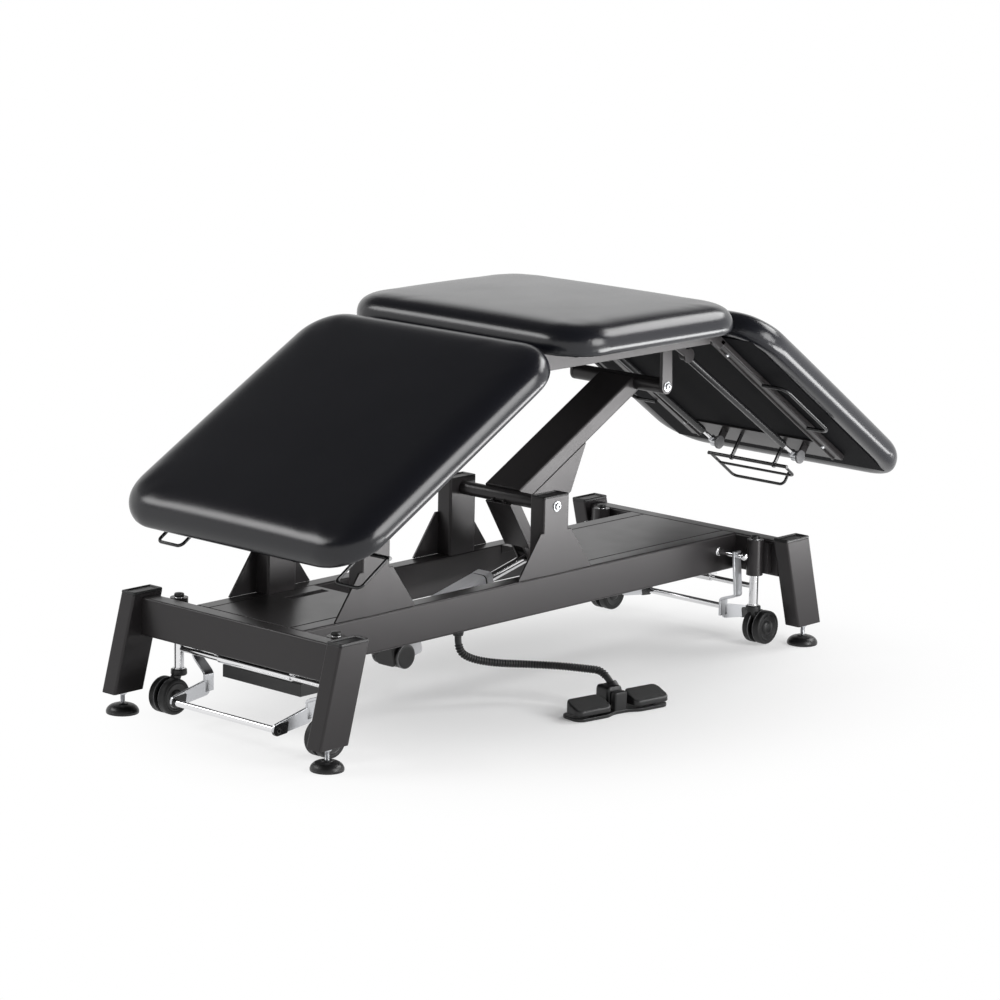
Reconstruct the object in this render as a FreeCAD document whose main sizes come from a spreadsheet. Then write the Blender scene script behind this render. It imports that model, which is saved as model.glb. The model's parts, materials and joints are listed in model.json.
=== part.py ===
"""Height-adjustable treatment couch with three cushions, on a base of square tube.

X runs along the couch, Y across it and Z up, in millimetres. The origin is on the floor at
the middle of the base. Each end section, lift arm, gas spring and pedal is drawn in a frame
of its own, with its pivot at the origin and its length along X, and is then set in place.
"""
import FreeCAD, Part
import math
import os
import re

SIZES = {
    # Base of welded tube
    "base_length": 1428,
    "base_width": 630,
    "tube_height": 80,
    "tube_width": 40,
    "tube_wall": 3,
    "rail_top": 240.6,
    "rail_spread": 308,
    "foot_over": 32.5,
    "leg_splay": 53,
    "leg_top": 246,
    "leg_bottom": 47,
    "leg_plate": 4,
    "cap_height": 6,
    "post_cap_height": 4,
    # Levelling feet
    "foot_radius": 34,
    "foot_rim": 5,
    "foot_height": 22,
    "foot_neck_radius": 14,
    "foot_stem_radius": 5,
    "foot_stem_reach": 24,
    "nut_radius": 9.5,
    "nut_height": 7,
    # Posts and gussets
    "post_right_x": 69.2,
    "post_spacing": 541,
    "post_over": 24,
    "gusset_width": 76,
    "gusset_height": 92,
    "gusset_tip": 8,
    "gusset_plate": 5,
    # Trays, control box and actuator mount
    "tray_left_length": 294,
    "tray_right_start": 195,
    "tray_sheet": 2,
    "tray_lip": 18,
    "slot_start": 172,
    "slot_length": 108,
    "slot_y": 56,
    "slot_width": 22,
    "control_gap": 34,
    "control_length": 160,
    "control_width": 224,
    "control_bottom": 92,
    "control_height": 26,
    "control_ear": 30,
    "control_ear_inset": 48,
    "control_sheet": 3,
    "control_flange": 18,
    "mount_plate": 8,
    "mount_length": 34,
    "mount_ear": 6,
    "mount_ear_radius": 16,
    # Castor gear
    "sleeve_radius": 18.5,
    "sleeve_y": 225,
    "block_length": 14,
    "block_width": 14,
    "block_inset": 6,
    "castor_stem_radius": 10.5,
    "castor_stem_bottom": 91,
    "castor_stem_rise": 4,
    "cross_rod_radius": 6,
    "cross_rod_z": 134,
    "cross_sleeve_radius": 8.5,
    "cross_sleeve_length": 208,
    "wheel_radius": 37.5,
    "wheel_width": 20,
    "wheel_lift": 1.5,
    "wheel_round": 5,
    "axle_radius": 5,
    "hub_radius": 14,
    "hub_step": 3,
    "hood_web": 10,
    "hood_radius": 27,
    "hood_collar_radius": 17,
    "hood_collar_height": 12,
    "hood_pin_radius": 5,
    "hood_pin_height": 26,
    "castor_trail": 27,
    # Castor pedal frames
    "shaft_gap": 62,
    "shaft_z": 208,
    "shaft_radius": 5.5,
    "shaft_over": 28,
    "shaft_collar_radius": 10,
    "shaft_collar": 5,
    "strap_y": 207,
    "strap_width": 22,
    "strap_plate": 6,
    "strap_bend_z": 120,
    "strap_foot_y": 147,
    "strap_foot_z": 67,
    "strap_foot_gap": 27,
    "strap_foot_height": 34,
    "pedal_end_height": 24,
    "pedal_over": 24,
    "pedal_z": 49,
    "pedal_bar_radius": 7,
    "pedal_bar_over": 4,
    "finger_y": 109,
    "finger_plate": 8,
    "finger_width": 22,
    "finger_gap": 0.6,
    # Lift arms
    "pivot_height": 386,
    "pivot_radius": 8,
    "pivot_tube_radius": 15,
    "bolt_radius": 11,
    "bolt_head": 6,
    "arm_length": 430,
    "arm_angle": 29,
    "arm_width": 100,
    "arm_height": 38,
    "arm_wall": 3,
    "arm_top_radius": 8,
    "arm_top_tube_radius": 17,
    "web_start": 132,
    "web_length": 100,
    "web_depth": 66,
    "web_plate": 5,
    "crank_radius": 170,
    "crank_angle": 87,
    "crank_plate": 6,
    "crank_width": 40,
    "crank_boss_radius": 13,
    "crank_boss": 5,
    # Actuator
    "act_rear_x": -330,
    "act_rear_z": 124,
    "act_pin_radius": 6,
    "act_eye_width": 24,
    "act_eye_radius": 15,
    "act_neck": 34,
    "act_body_length": 362,
    "act_body_width": 46,
    "act_gear_length": 86,
    "act_gear_width": 60,
    "act_gear_drop": 62,
    "act_motor_radius": 26,
    "act_motor_length": 80,
    "act_motor_x": 62,
    "act_motor_drop": 44,
    "act_rod_radius": 10,
    "act_rod_in": 90,
    "act_rod_room": 25,
    # Upper frame
    "hanger_drop": 102,
    "hanger_plate": 8,
    "hanger_width": 34,
    "hanger_spread": 250,
    "frame_rail_height": 38,
    "frame_rail_sheet": 4,
    "frame_flange": 34,
    "frame_spread": 450,
    "cross_tube_width": 30,
    "cross_tube_wall": 2.5,
    "cross_tube_middle_x": 190,
    "hinge_left_offset": 3,
    "hinge_right_offset": 30,
    "hinge_depth": 10,
    "hinge_pin_radius": 6,
    "hinge_pin_end": 3,
    "hinge_ear_radius": 14,
    # Cushions and boards
    "pad_gap": 4,
    "pad_width": 690,
    "pad_thickness": 59,
    "pad_crown": 5,
    "pad_corner": 97,
    "pad_edge": 25,
    "pad_underside": 14.4,
    "crown_shoulder": 83,
    "crown_shoulder_rise": 2.8,
    "crown_flat": 207,
    "board_thickness": 12,
    "board_inset": 44,
    "left_length": 712,
    "left_tilt": 29.3,
    "right_length": 697,
    "right_tilt": 35,
    # End section frames
    "section_rail_length": 604,
    "section_plate_start": 545,
    "section_plate_length": 80,
    "section_plate_sheet": 4,
    "screw_radius": 5,
    "screw_head": 3,
    "screw_first": 110,
    "screw_last": 543,
    "grip_start": 238,
    "grip_length": 202,
    "grip_reach": 64,
    "grip_drop": 6,
    "grip_bend": 22,
    "grip_radius": 4,
    # Gas springs
    "gas_left_y": 100,
    "gas_right_y": 118,
    "gas_top_x": 44,
    "gas_top_drop": 70,
    "gas_foot_x": 571,
    "gas_foot_drop": 25,
    "gas_eye_radius": 12,
    "gas_eye_width": 16,
    "gas_pin_radius": 4,
    "gas_bracket_plate": 6,
    "gas_bracket_radius": 16,
    "gas_neck": 2,
    "gas_neck_radius": 6,
    "gas_tube_radius": 11,
    "gas_tube_length": 421,
    "gas_rod_radius": 5,
    "gas_rod_in": 70,
    # Release levers
    "release_x": 580,
    "release_drop": 52,
    "release_radius": 3.5,
    "release_rod_radius": 4.2,
    "release_stay_radius": 3,
    "release_rod_over": 3,
    "release_lug_y": 62,
    "release_lug_plate": 6,
    "release_lug_radius": 9,
    "release_far": 128,
    "release_near": 97,
    "release_bend": 12,
    "release_out": 110,
    "release_down": 2,
    "release_return": 45,
    "release_across": 147,
    "release_tip": 20,
    "loop_y": 255,
    "loop_width": 76,
    "loop_out": 91,
    "loop_down": 5,
    # Foot switch
    "switch_x": -1,
    "switch_y": -389,
    "switch_turn": -9,
    "switch_width": 247,
    "switch_depth": 64,
    "switch_plate": 7,
    "switch_corner": 14,
    "bridge_width": 40,
    "bridge_height": 48,
    "bridge_round": 8,
    "toe_gap": 11,
    "toe_bottom": 12,
    "toe_front_height": 9,
    "toe_back_height": 31,
    "toe_depth": 49,
    "toe_round": 5,
    "toe_pin_radius": 3,
    "toe_pin_in": 10,
    "toe_hinge_back": 8,
    "toe_hinge_rise": 9,
    "bridge_front": 22,
    "bridge_back": 44,
    "socket_radius": 12,
    "socket_depth": 26,
    # Hose to the foot switch
    "hose_radius": 8.5,
    "hose_root_radius": 7,
    "hose_bore_radius": 5.5,
    "hose_rib_pitch": 6,
    "gland_x": -207,
    "gland_y": -134,
    "gland_radius": 13,
    "gland_height": 11,
    # Clearances
    "run_fit": 0.05,
    "side_gap": 0.5,
    "face_gap": 0.3,
}

PLACES = {
    "rail_bottom": "rail_top - tube_height",
    "rail_face": "rail_spread / 2",
    "rail_inner": "rail_face - tube_width",
    "beam_out": "base_length / 2",
    "beam_in": "beam_out - tube_width",
    "leg_outer": "base_width / 2",
    "leg_inner": "leg_outer - tube_width",
    "foot_x": "beam_out + foot_over",
    "foot_y": "leg_outer - tube_width / 2",
    "leg_top_x": "foot_x - leg_splay",
    "leg_plate_shift": "leg_splay * leg_plate / (leg_top - leg_bottom)",
    "post_left_x": "post_right_x - post_spacing",
    "post_top": "pivot_height + post_over",
    "tray_left_end": "tray_left_length - beam_in",
    "slot_x": "slot_start - beam_in",
    "control_start": "control_gap - beam_in",
    "control_top": "control_bottom + control_height",
    "sleeve_x": "beam_in - sleeve_radius",
    "shaft_x": "beam_in - shaft_gap",
    "strap_foot_x": "beam_in - strap_foot_gap",
    "pedal_x": "beam_out + pedal_over",
    "wheel_z": "wheel_radius + wheel_lift",
    "hood_collar_top": "castor_stem_bottom - face_gap",
    "hood_collar_bottom": "hood_collar_top - hood_collar_height",
    "wheel_inner": "hood_web / 2 + side_gap",
    "arm_reach": "arm_length * cos(arm_angle)",
    "arm_rise": "arm_length * sin(arm_angle)",
    "pivot_top": "pivot_height + arm_rise",
    "arm_left_top_x": "post_left_x + arm_reach",
    "arm_right_top_x": "post_right_x + arm_reach",
    "frame_bottom": "pivot_top + hanger_drop",
    "seat_bottom": "frame_bottom + frame_rail_height",
    "hinge_z": "seat_bottom - hinge_depth",
    "hinge_left_x": "arm_left_top_x - hinge_left_offset",
    "hinge_right_x": "arm_right_top_x + hinge_right_offset",
    "seat_length": "hinge_right_x - hinge_left_x - 2 * pad_gap",
    "frame_face": "frame_spread / 2",
    "frame_inner": "frame_face - frame_rail_sheet",
    "section_face": "frame_inner - side_gap",
    "section_inner": "section_face - frame_rail_sheet",
    "flange_gap": "hinge_ear_radius + pad_gap",
    "hanger_face": "hanger_spread / 2",
    "crank_x": "post_right_x + crank_radius * cos(arm_angle - crank_angle)",
    "crank_z": "pivot_height + crank_radius * sin(arm_angle - crank_angle)",
    "act_run": "crank_x - act_rear_x",
    "act_rise": "crank_z - act_rear_z",
    "act_length": "sqrt(act_run * act_run + act_rise * act_rise)",
    "cross_tube_top": "seat_bottom - frame_rail_sheet",
    "cross_tube_bottom": "cross_tube_top - cross_tube_width",
    "cross_left_x": "hinge_left_x + flange_gap",
    "cross_right_x": "hinge_right_x - flange_gap - cross_tube_width",
    "release_z": "0 - release_drop",
    "section_plate_top": "hinge_depth",
    "section_plate_bottom": "section_plate_top - section_plate_sheet",
    "toe_width": "(switch_width - bridge_width) / 2 - toe_gap",
}

# Foot switch hose, from the gland under the near rail to the socket at the back of the bridge
HOSE_ROUTE = [
    (-207, -134, 149.6),
    (-207, -134, 120),
    (-184, -144, 99),
    (-138, -170, 86),
    (-66, -205, 77.5),
    (-20, -258, 75.5),
    (2, -312, 75.5),
    (12, -343, 76),
    (13, -364, 53.5),
]

doc = FreeCAD.newDocument("TreatmentCouch")
UP = FreeCAD.Vector(0, 0, 1)
ALONG = FreeCAD.Vector(1, 0, 0)
ACROSS = FreeCAD.Vector(0, 1, 0)
TURN_TO_AXIS = {
    "x": FreeCAD.Rotation(ACROSS, 90),
    "y": FreeCAD.Rotation(ALONG, -90),
    "z": FreeCAD.Rotation(),
}
HALF_TURN = FreeCAD.Rotation(UP, 180)
ARC_SHARE = 0.45
RINGS_PER_RIB = 4
LOWER_EDGE_ANGLES = (-35, 0)
UPPER_EDGE_ANGLES = (0, 30, 60, 85)
LEAST_CORNER_SHARE = 0.25
ENDS = (("left", -1), ("right", 1))
SIDES = (("near", -1), ("far", 1))
nodes = []


def point_at_cells(formula):
    """Write a formula of size names as one of sheet cells."""
    def cell(match):
        name = match.group()
        if name in SIZES:
            return "Dims." + name
        if name in PLACES:
            return "Places." + name
        return name
    return re.sub(r"[a-z]\w*", cell, formula)


def fill_sheet(title, rows):
    sheet = doc.addObject("Spreadsheet::Sheet", title)
    for row, (name, text) in enumerate(rows, start=1):
        sheet.set(f"A{row}", name)
        sheet.set(f"B{row}", text)
        sheet.setAlias(f"B{row}", name)
        doc.recompute()
    return sheet


dims = fill_sheet("Dims", [(name, str(value)) for name, value in SIZES.items()])
places = fill_sheet("Places", [(name, "=" + point_at_cells(rule)) for name, rule in PLACES.items()])


def size(name):
    """Read one value back from its sheet."""
    value = (dims if name in SIZES else places).get(name)
    return float(getattr(value, "Value", value))


def bind(item, **formulas):
    for prop, formula in formulas.items():
        item.setExpression(prop, point_at_cells(formula))


def move_to(item, x="0", y="0", z="0"):
    for axis, formula in zip("xyz", (x, y, z)):
        item.setExpression("Placement.Base." + axis, point_at_cells(formula))


def turn(item, rotation):
    item.Placement = FreeCAD.Placement(FreeCAD.Vector(), rotation)


def block(x, y, z):
    """Box between two formulas along each axis."""
    item = doc.addObject("Part::Box", "Block")
    lengths = [f"({high}) - ({low})" for low, high in (x, y, z)]
    bind(item, Length=lengths[0], Width=lengths[1], Height=lengths[2])
    move_to(item, x[0], y[0], z[0])
    return item


def bar(axis, centre, span, radius):
    """Cylinder along one axis, centred on the other two in their own order."""
    item = doc.addObject("Part::Cylinder", "Bar")
    turn(item, TURN_TO_AXIS[axis])
    bind(item, Radius=radius, Height=f"({span[1]}) - ({span[0]})")
    base = dict(zip([name for name in "xyz" if name != axis], centre))
    base[axis] = span[0]
    move_to(item, **base)
    return item


def leaning(low, high, height, depth):
    """Prism across Y whose level foot and top have their own spans in X."""
    item = doc.addObject("Part::Wedge", "Leaning")
    thick = f"({depth[1]}) - ({depth[0]})"
    bind(item, Xmin=low[0], Xmax=low[1], X2min=high[0], X2max=high[1])
    bind(item, Ymin=height[0], Ymax=height[1])
    bind(item, Zmin="0", Zmax=thick, Z2min="0", Z2max=thick)
    turn(item, FreeCAD.Rotation(ALONG, 90))
    move_to(item, y=depth[1])
    return item


def offset_strap(low_x, low_y, high_x, high_y, height):
    """Flat bar that steps across in X and Y between two heights."""
    item = doc.addObject("Part::Wedge", "Offset")
    bind(item, Xmin=low_y[0], Xmax=low_y[1], X2min=high_y[0], X2max=high_y[1])
    bind(item, Ymin=height[0], Ymax=height[1])
    bind(item, Zmin=low_x[0], Zmax=low_x[1], Z2min=high_x[0], Z2max=high_x[1])
    turn(item, FreeCAD.Rotation(FreeCAD.Vector(1, 1, 1), 120))
    return item


def sloping(x, first, last, y):
    """Bar along X whose two ends have their own spans in Z."""
    item = doc.addObject("Part::Wedge", "Sloping")
    bind(item, Xmin=first[0], Xmax=first[1], X2min=last[0], X2max=last[1])
    bind(item, Ymin=x[0], Ymax=x[1])
    bind(item, Zmin=y[0], Zmax=y[1], Z2min=y[0], Z2max=y[1])
    turn(item, FreeCAD.Rotation(FreeCAD.Vector(1, 1, 1), 240))
    return item


def fuse(items):
    item = doc.addObject("Part::MultiFuse", "Joined")
    item.Shapes = items
    item.Refine = True
    return item


def cut(base, *tools):
    item = doc.addObject("Part::Cut", "Cut")
    item.Base = base
    item.Tool = tools[0] if len(tools) == 1 else fuse(list(tools))
    return item


def fillet(base, radius, wanted):
    """Round the edges of a base that the test picks."""
    doc.recompute()
    item = doc.addObject("Part::Fillet", "Rounded")
    item.Base = base
    edges = base.Shape.Edges
    item.Edges = [(number, radius, radius) for number, edge in enumerate(edges, 1) if wanted(edge)]
    return item


def group(items):
    item = doc.addObject("Part::Compound", "Group")
    item.Links = items
    return item


def node(label, item, placement=None):
    """Keep an object as a sub-part under its own name."""
    item.Label = label
    if placement:
        item.Placement = placement
    nodes.append(item)
    return item


def feature(label, shape, placement=None):
    item = doc.addObject("Part::Feature", "Shaped")
    item.Shape = shape
    return node(label, item, placement)


def span(side, low, high):
    """A span on the far or right side, or its mirror image on the other."""
    if side > 0:
        return (low, high)
    return (f"-({high})", f"-({low})")


def both_ways(half):
    return (f"-({half})", half)


def about(centre, half):
    return (f"{centre} - ({half})", f"{centre} + ({half})")


def on_side(side, formula):
    return f"{side} * ({formula})"


def wire_form(points, bend, radius):
    """Round wire through points, each corner bent to one radius."""
    points = [FreeCAD.Vector(*point) for point in points]
    edges = []
    start = points[0]
    for before, corner, after in zip(points, points[1:], points[2:]):
        back = (before - corner).normalize()
        ahead = (after - corner).normalize()
        half_angle = back.getAngle(ahead) / 2
        reach = bend / math.tan(half_angle)
        middle = (back + ahead).normalize() * (bend / math.sin(half_angle) - bend)
        enter = corner + back * reach
        leave = corner + ahead * reach
        edges.append(Part.LineSegment(start, enter).toShape())
        edges.append(Part.Arc(enter, corner + middle, leave).toShape())
        start = leave
    edges.append(Part.LineSegment(start, points[-1]).toShape())
    path = Part.Wire(edges)
    profile = Part.Wire(Part.makeCircle(radius, points[0], points[1] - points[0]))
    return path.makePipeShell([profile], True, False)


# Base frame


def tube_along_x(x, y, z):
    wall = "tube_wall"
    hollow_y = (f"{y[0]} + {wall}", f"{y[1]} - {wall}")
    hollow_z = (f"{z[0]} + {wall}", f"{z[1]} - {wall}")
    return block(x, y, z), block(x, hollow_y, hollow_z)


def make_rail(label, side):
    y = span(side, "rail_inner", "rail_face")
    outer, inner = tube_along_x(both_ways("beam_in"), y, ("rail_bottom", "rail_top"))
    holes = [
        bar("y", (on_side(end, "shaft_x"), "shaft_z"), y, "shaft_radius + run_fit")
        for _, end in ENDS
    ]
    node(label, cut(outer, inner, *holes))


def make_beam(label, end):
    x = span(end, "beam_in", "beam_out")
    hollow_x = span(end, "beam_in + tube_wall", "beam_out - tube_wall")
    y = both_ways("leg_inner")
    outer = block(x, y, ("rail_bottom", "rail_top"))
    inner = block(hollow_x, y, ("rail_bottom + tube_wall", "rail_top - tube_wall"))
    node(label, cut(outer, inner))


def make_legs(label, end):
    legs = []
    for _, side in SIDES:
        half = "tube_height / 2"
        bore = "tube_height / 2 - tube_wall"
        depth = span(side, "leg_inner", "leg_outer")
        hollow_depth = span(side, "leg_inner + tube_wall", "leg_outer - tube_wall")
        low = span(end, *about("foot_x", half))
        high = span(end, *about("leg_top_x", half))
        outer = leaning(low, high, ("leg_bottom", "leg_top"), depth)
        low = span(end, *about("foot_x - leg_plate_shift", bore))
        high = span(end, *about("leg_top_x", bore))
        inner = leaning(low, high, ("leg_bottom + leg_plate", "leg_top"), hollow_depth)
        centre = (on_side(end, "foot_x"), on_side(side, "foot_y"))
        plate_z = ("leg_bottom", "leg_bottom + leg_plate")
        thread = bar("z", centre, plate_z, "foot_stem_radius + run_fit")
        legs.append(cut(outer, inner, thread))
    node(label, group(legs))


def make_tube_caps():
    caps = []
    half = "tube_height / 2"
    for label, end in ENDS:
        for _, side in SIDES:
            x = span(end, *about("leg_top_x", half))
            y = span(side, "leg_inner", "leg_outer")
            caps.append(block(x, y, ("leg_top", "leg_top + cap_height")))
            x = about(f"post_{label}_x", half)
            y = span(side, "rail_inner", "rail_face")
            caps.append(block(x, y, ("post_top - post_cap_height", "post_top")))
    node("tube_caps", group(caps))


def make_foot(label, end, side):
    centre = (on_side(end, "foot_x"), on_side(side, "foot_y"))
    rim = bar("z", centre, ("0", "foot_rim"), "foot_radius")
    cone = doc.addObject("Part::Cone", "Cone")
    bind(cone, Radius1="foot_radius", Radius2="foot_neck_radius", Height="foot_height - foot_rim")
    move_to(cone, centre[0], centre[1], "foot_rim")
    stem = bar("z", centre, ("foot_rim", "leg_bottom + foot_stem_reach"), "foot_stem_radius")
    nut = doc.addObject("Part::Prism", "Nut")
    nut.Polygon = 6
    bind(nut, Circumradius="nut_radius", Height="nut_height")
    move_to(nut, centre[0], centre[1], "leg_bottom - face_gap - nut_height")
    node(label, fuse([rim, cone, stem, nut]))


def make_posts(label, post_x):
    posts = []
    half = "tube_height / 2"
    for _, side in SIDES:
        y = span(side, "rail_inner", "rail_face")
        outer = block(about(post_x, half), y, ("rail_top", "post_top - post_cap_height"))
        hollow_x = about(post_x, half + " - tube_wall")
        hollow_y = span(side, "rail_inner + tube_wall", "rail_face - tube_wall")
        inner = block(hollow_x, hollow_y, ("rail_top", "post_top - post_cap_height"))
        bore = bar("y", (post_x, "pivot_height"), y, "pivot_radius + run_fit")
        plate_y = span(side, "rail_face - gusset_plate", "rail_face")
        plates = []
        for _, end in ENDS:
            edge = f"{post_x} + ({end}) * {half}"
            low = (edge, f"{edge} + gusset_width") if end > 0 else (f"{edge} - gusset_width", edge)
            high = (edge, f"{edge} + gusset_tip") if end > 0 else (f"{edge} - gusset_tip", edge)
            height = ("rail_top", "rail_top + gusset_height")
            plates.append(leaning(low, high, height, plate_y))
        posts.append(fuse([cut(outer, inner, bore)] + plates))
    node(label, group(posts))


def tray(x):
    sheet_bottom = "rail_top - tray_sheet"
    pieces = [block(x, both_ways("rail_inner"), (sheet_bottom, "rail_top"))]
    for _, side in SIDES:
        y = span(side, "rail_inner - tray_sheet", "rail_inner")
        pieces.append(block(x, y, ("rail_top - tray_lip", "rail_top")))
    return fuse(pieces)


def make_trays():
    slot_x = ("slot_x", "slot_x + slot_length")
    slot_y = ("slot_y", "slot_y + slot_width")
    slot = block(slot_x, slot_y, ("rail_top - tray_lip", "rail_top"))
    node("tray_left", cut(tray(("-beam_in", "tray_left_end")), slot))
    node("tray_right", tray(("tray_right_start", "beam_in")))


def make_castor_sleeves():
    sleeves = []
    for _, end in ENDS:
        for _, side in SIDES:
            centre = (on_side(end, "sleeve_x"), on_side(side, "sleeve_y"))
            height = ("rail_bottom", "rail_top")
            tube = bar("z", centre, height, "sleeve_radius")
            x = span(end, "beam_in - block_length", "beam_in")
            y = span(side, "sleeve_y", "sleeve_y + sleeve_radius + block_width")
            body = block(x, y, ("rail_bottom + block_inset", "rail_top - block_inset"))
            bore = bar("z", centre, height, "castor_stem_radius + run_fit")
            sleeves.append(cut(fuse([tube, body]), bore))
    node("castor_sleeves", group(sleeves))


def make_control_box():
    x = ("control_start", "control_start + control_length")
    half = "control_width / 2"
    pieces = [block(x, both_ways(half), ("control_bottom", "control_top"))]
    for _, side in SIDES:
        ears = ("control_start + control_ear_inset", "control_start + control_length - control_ear")
        for start in ears:
            ear_x = (start, f"{start} + control_ear")
            ear_y = span(side, f"{half} - control_sheet", half)
            flange_y = span(side, f"{half} - control_sheet", "rail_inner + control_flange")
            pieces.append(block(ear_x, ear_y, ("control_top - control_sheet", "rail_bottom")))
            pieces.append(block(ear_x, flange_y, ("rail_bottom - control_sheet", "rail_bottom")))
    node("control_box", fuse(pieces))


def make_actuator_mount():
    x = about("act_rear_x", "mount_length / 2")
    pieces = [block(x, both_ways("rail_inner"), ("rail_bottom", "rail_bottom + mount_plate"))]
    inner = "act_eye_width / 2 + side_gap"
    outer = f"{inner} + mount_ear"
    pivot = ("act_rear_x", "act_rear_z")
    for _, side in SIDES:
        y = span(side, inner, outer)
        ear_x = about("act_rear_x", "mount_ear_radius")
        pieces.append(block(ear_x, y, ("act_rear_z", "rail_bottom + mount_plate / 2")))
        pieces.append(bar("y", pivot, y, "mount_ear_radius"))
    pieces.append(bar("y", pivot, both_ways(outer + " + mount_ear / 2"), "act_pin_radius"))
    node("actuator_mount", fuse(pieces))


# Castor gear


def make_castor_stems(label, end):
    pieces = []
    x = on_side(end, "sleeve_x")
    for _, side in SIDES:
        centre = (x, on_side(side, "sleeve_y"))
        height = ("castor_stem_bottom", "rail_top + castor_stem_rise")
        stem = bar("z", centre, height, "castor_stem_radius")
        socket_top = "hood_collar_top + hood_pin_height + face_gap"
        socket = bar("z", centre, ("castor_stem_bottom", socket_top), "hood_pin_radius + run_fit")
        pieces.append(cut(stem, socket))
    rod_end = "sleeve_y - hood_pin_radius - run_fit - face_gap"
    rod = (x, "cross_rod_z")
    pieces.append(bar("y", rod, both_ways(rod_end), "cross_rod_radius"))
    pieces.append(bar("y", rod, both_ways("cross_sleeve_length / 2"), "cross_sleeve_radius"))
    node(label, fuse(pieces))


def make_castor(label, end, side):
    y = on_side(side, "sleeve_y")
    stem_x = on_side(end, "sleeve_x")
    axle_x = on_side(end, "sleeve_x + castor_trail")
    web_y = about(y, "hood_web / 2")
    collar = bar("z", (stem_x, y), ("hood_collar_bottom", "hood_collar_top"), "hood_collar_radius")
    pin_z = ("hood_collar_bottom", "hood_collar_top + hood_pin_height")
    pin = bar("z", (stem_x, y), pin_z, "hood_pin_radius")
    disc = bar("y", (axle_x, "wheel_z"), web_y, "hood_radius")
    neck_x = span(end, "sleeve_x - hood_web / 2", "sleeve_x + castor_trail")
    neck = block(neck_x, web_y, ("wheel_z", "hood_collar_top - hood_collar_height / 2"))
    bore = bar("y", (axle_x, "wheel_z"), web_y, "axle_radius + run_fit")
    node("hood_" + label, cut(fuse([collar, pin, disc, neck]), bore))
    axle_y = about(y, "wheel_inner + wheel_width")
    pieces = [bar("y", (axle_x, "wheel_z"), axle_y, "axle_radius")]
    for _, face in SIDES:
        inner = f"{y} + ({face}) * (wheel_inner)"
        outer = f"{inner} + ({face}) * wheel_width"
        ends = (inner, outer) if face > 0 else (outer, inner)
        tyre = bar("y", (axle_x, "wheel_z"), ends, "wheel_radius")
        hub = f"{outer} - ({face}) * hub_step"
        ends = (hub, outer) if face > 0 else (outer, hub)
        recess = cut(
            bar("y", (axle_x, "wheel_z"), ends, "wheel_radius - 2 * wheel_round"),
            bar("y", (axle_x, "wheel_z"), ends, "hub_radius"),
        )
        rounded = fillet(tyre, size("wheel_round"), lambda edge: edge.Closed)
        pieces.append(cut(rounded, recess))
    node("wheel_" + label, fuse(pieces))


def make_pedal_frame(label, end):
    shaft_x = on_side(end, "shaft_x")
    shaft = (shaft_x, "shaft_z")
    pedal = (on_side(end, "pedal_x"), "pedal_z")
    shaft_end = "strap_y + strap_plate / 2 + shaft_over"
    bar_end = "strap_foot_y + strap_plate / 2 + pedal_bar_over"
    pieces = [
        bar("y", shaft, both_ways(shaft_end), "shaft_radius"),
        bar("y", pedal, both_ways(bar_end), "pedal_bar_radius"),
    ]
    foot_ends = [about("strap_foot_z", "strap_foot_height / 2"), about("pedal_z", "pedal_end_height / 2")]
    upper_x = about(shaft_x, "strap_width / 2")
    lower_x = span(end, "strap_foot_x", "strap_foot_x + strap_width")
    foot_x = span(end, "strap_foot_x", "pedal_x")
    for _, side in SIDES:
        collar_y = span(side, "rail_face + face_gap", "rail_face + face_gap + shaft_collar")
        upper_y = span(side, *about("strap_y", "strap_plate / 2"))
        lower_y = span(side, *about("strap_foot_y", "strap_plate / 2"))
        finger_y = span(side, *about("finger_y", "finger_plate / 2"))
        finger_bottom = "cross_rod_z + cross_rod_radius + finger_gap"
        finger_low = span(end, *about("sleeve_x", "finger_width / 2"))
        finger_high = about(shaft_x, "finger_width / 2")
        pieces += [
            bar("y", shaft, collar_y, "shaft_collar_radius"),
            block(upper_x, upper_y, ("strap_bend_z", "shaft_z")),
            offset_strap(lower_x, lower_y, upper_x, upper_y, ("strap_foot_z", "strap_bend_z")),
            sloping(foot_x, *foot_ends[::end], lower_y),
            bar("y", pedal, lower_y, "pedal_end_height / 2"),
            leaning(finger_low, finger_high, (finger_bottom, "shaft_z"), finger_y),
        ]
    node(label, fuse(pieces))


# Lift arms and actuator


def arm_pieces():
    tube_x = ("pivot_tube_radius / 2", "arm_length - arm_top_tube_radius / 2")
    wall = "arm_wall"
    outer = block(tube_x, both_ways("arm_width / 2"), both_ways("arm_height / 2"))
    hollow_y = both_ways(f"arm_width / 2 - {wall}")
    hollow_z = both_ways(f"arm_height / 2 - {wall}")
    inner = block(tube_x, hollow_y, hollow_z)
    low_end = "rail_inner - side_gap"
    low_head = "rail_face + face_gap"
    high_end = "hanger_face - side_gap"
    high_head = "hanger_face + hanger_plate + face_gap"
    pieces = [
        cut(outer, inner),
        bar("y", ("0", "0"), both_ways(low_end), "pivot_tube_radius"),
        bar("y", ("0", "0"), both_ways(low_head), "pivot_radius"),
        bar("y", ("arm_length", "0"), both_ways(high_end), "arm_top_tube_radius"),
        bar("y", ("arm_length", "0"), both_ways(high_head), "arm_top_radius"),
    ]
    for _, side in SIDES:
        low_y = span(side, low_head, f"{low_head} + bolt_head")
        high_y = span(side, high_head, f"{high_head} + bolt_head")
        pieces.append(bar("y", ("0", "0"), low_y, "bolt_radius"))
        pieces.append(bar("y", ("arm_length", "0"), high_y, "bolt_radius"))
    return pieces


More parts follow.
